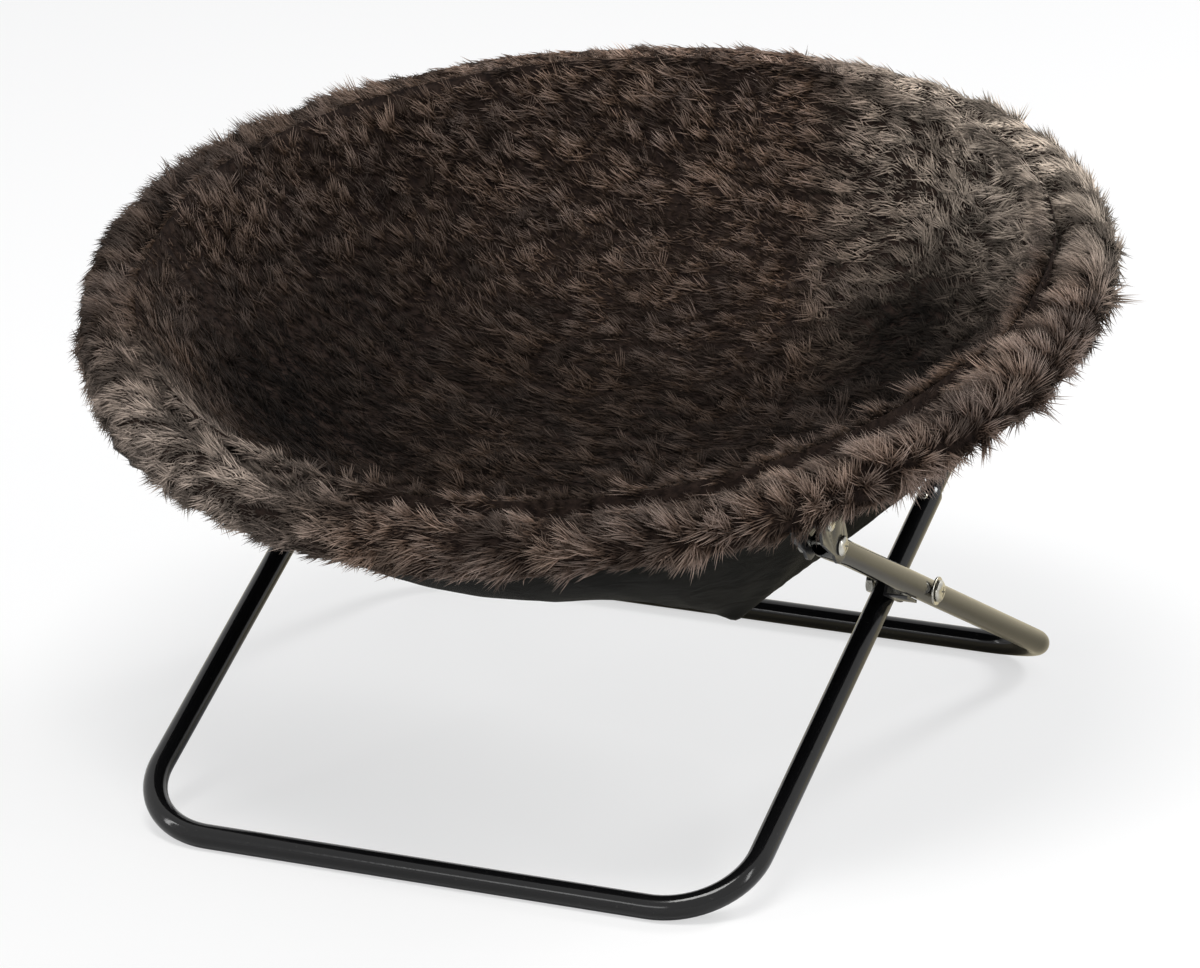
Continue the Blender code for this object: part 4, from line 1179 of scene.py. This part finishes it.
def cloth_sheet(front):
    """Half of the cloth: the bowl, then a narrow hem that turns out under the rim."""
    grid = seat_rings(front, pad_edge_r, arc_steps=132, ring_steps=66)
    bm = bmesh.new()
    uv = bm.loops.layers.uv.new("weave")
    flat = {}

    def add(x, along, drop):
        vert = bm.verts.new(seat_place(x, along, drop))
        flat[vert] = (x, along)
        return vert

    def bowl(x, along):
        radius = seat_radius(x, along)
        share = edge_share(radius)
        drop = seat_drop(radius) + 2 * gap + cloth_edge_drop * share ** 6
        crinkle = 0.0006 * abs(lump(Vector((x, along, 0)), 0.020, 7.0)) * (1 - share ** 8)
        return add(x, along, drop + cloth_sag(x, along) + crinkle)

    rows = [[bowl(x, along) for x, along in ring] for ring in grid]
    hem_drop = seat_drop(pad_edge_r) + 2 * gap + cloth_edge_drop
    for grow, lift in ((0.0045, 0.0002), (0.0090, 0.0008), (0.0135, 0.0022), (0.0175, 0.0046)):
        row = []
        for x, along in grid[-1]:
            radius = seat_radius(x, along)
            scale = (radius + grow) / radius
            back = hoop_back + (along - hoop_back) * scale
            row.append(add(x * scale, back, hem_drop - lift))
        rows.append(row)
    rows.insert(0, [bowl(0, 0)])
    for low, high in zip(rows, rows[1:]):
        for corners in strip(low, high, closed=False):
            x, along = (sum(flat[v][axis] for v in corners) / len(corners) for axis in (0, 1))
            if left_open(x, along, front):
                continue
            for loop in bm.faces.new(corners).loops:
                loop[uv].uv = flat[loop.vert]
    loose = [v for v in bm.verts if not v.link_faces]
    bmesh.ops.delete(bm, geom=loose, context="VERTS")
    for face in bm.faces:
        if face.normal.z > 0:
            face.normal_flip()
    area = sum(face.calc_area() for face in bm.faces)
    mesh = shaded(written("cloth_front" if front else "cloth_rear", bm))
    return shaded(after_modifier(mesh, "SOLIDIFY", thickness=cloth_thick, offset=1.0), 50), area


for front, half in HALVES:
    mesh, area = cloth_sheet(front)
    cloth = piece("cloth_" + half, mesh, half + "_half", CLOTH,
                  replaces=["under_cloth_" + half], slot="black_cloth")
    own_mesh(cloth)

for helper in helpers:
    bpy.data.objects.remove(helper)


# Camera, floor and light

def camera_at(target, azimuth, elevation, distance, lens):
    a, e = radians(azimuth), radians(elevation)
    away = Vector((sin(a) * cos(e), -cos(a) * cos(e), sin(e)))
    cam = bpy.data.cameras.new("camera")
    cam.lens = lens
    cam.sensor_width = 36
    cam.sensor_fit = "HORIZONTAL"
    cam.clip_end = 50
    obj = in_scene("camera", cam)
    obj.location = target + away * distance
    obj.rotation_euler = (-away).to_track_quat("-Z", "Y").to_euler()
    bpy.context.scene.camera = obj


camera_at(Vector((0.004356, -0.008427, 0.145034)), azimuth=22.979, elevation=18.364,
          distance=3.4235, lens=196.746)


def soft_lamp(name, place, target, size, power, tint=(1, 1, 1)):
    data = bpy.data.lights.new(name, "AREA")
    data.shape = "RECTANGLE"
    data.size, data.size_y = size
    data.energy = power
    data.color = tint
    lamp = in_scene(name, data)
    lamp.location = place
    lamp.rotation_euler = (Vector(target) - Vector(place)).to_track_quat("-Z", "Y").to_euler()


soft_lamp("key_lamp", (0.1, -1.0, 3.0), (0, 0, 0.15), (1.3, 0.9), 50, (1.0, 0.99, 0.97))
soft_lamp("front_lamp", (-0.6, -2.9, 1.1), (0, 0, 0.12), (1.2, 0.5), 9)
soft_lamp("left_strip", (-2.2, -1.3, 1.2), (0, 0, 0.12), (0.22, 1.7), 12)
soft_lamp("right_strip", (2.5, -0.5, 1.5), (0, 0, 0.12), (0.22, 1.7), 12)
soft_lamp("back_lamp", (1.5, 2.0, 2.0), (0.1, 0.1, 0.2), (0.9, 0.9), 44)


def pale_floor():
    """White to the eye and soft grey as a reflector; glossy paint sees it warm behind the legs."""
    bm = bmesh.new()
    bmesh.ops.create_grid(bm, x_segments=1, y_segments=1, size=6)
    mesh = written("floor", bm)
    mat, shader, here = new_finish("pale_floor", Roughness=0.9)
    tree = mat.node_tree
    ray = put(tree, "ShaderNodeLightPath").outputs
    back = put(tree, "ShaderNodeSeparateXYZ", {0: here}).outputs[1]
    mirrored = times(ray["Is Glossy Ray"], span(back, -0.05, 0.15, 0.0, 1.0))
    feed(shader, "Base Color", mixed(mirrored, (0.88, 0.88, 0.88, 1), (0.80, 0.71, 0.50, 1)))
    white = put(tree, "ShaderNodeEmission", {"Color": (1, 1, 1, 1), "Strength": 1.0}).outputs[0]
    share = times(ray["Is Camera Ray"], 0.6)
    shown = put(tree, "ShaderNodeMixShader", {0: share, 1: shader.outputs[0], 2: white})
    feed(tree.nodes["Material Output"], "Surface", shown.outputs[0])
    mesh.materials.append(mat)
    floor = in_scene("floor", mesh)


pale_floor()

world = bpy.context.scene.world or bpy.data.worlds.new("studio")
bpy.context.scene.world = world
world.use_nodes = True
tree = world.node_tree
tree.nodes.clear()
ray = put(tree, "ShaderNodeLightPath").outputs
seen = calc("MAXIMUM", ray["Is Camera Ray"], ray["Is Transmission Ray"])
seen = calc("MAXIMUM", seen, ray["Is Glossy Ray"])
around = put(tree, "ShaderNodeBackground", {"Color": (0.94, 0.96, 1.0, 1), "Strength": 0.42})
shown = put(tree, "ShaderNodeBackground", {"Color": (1, 1, 1, 1), "Strength": 1.0})
blend = put(tree, "ShaderNodeMixShader", {0: seen, 1: around.outputs[0], 2: shown.outputs[0]})
put(tree, "ShaderNodeOutputWorld", {"Surface": blend.outputs[0]})

bpy.context.scene.view_settings.view_transform = "Standard"
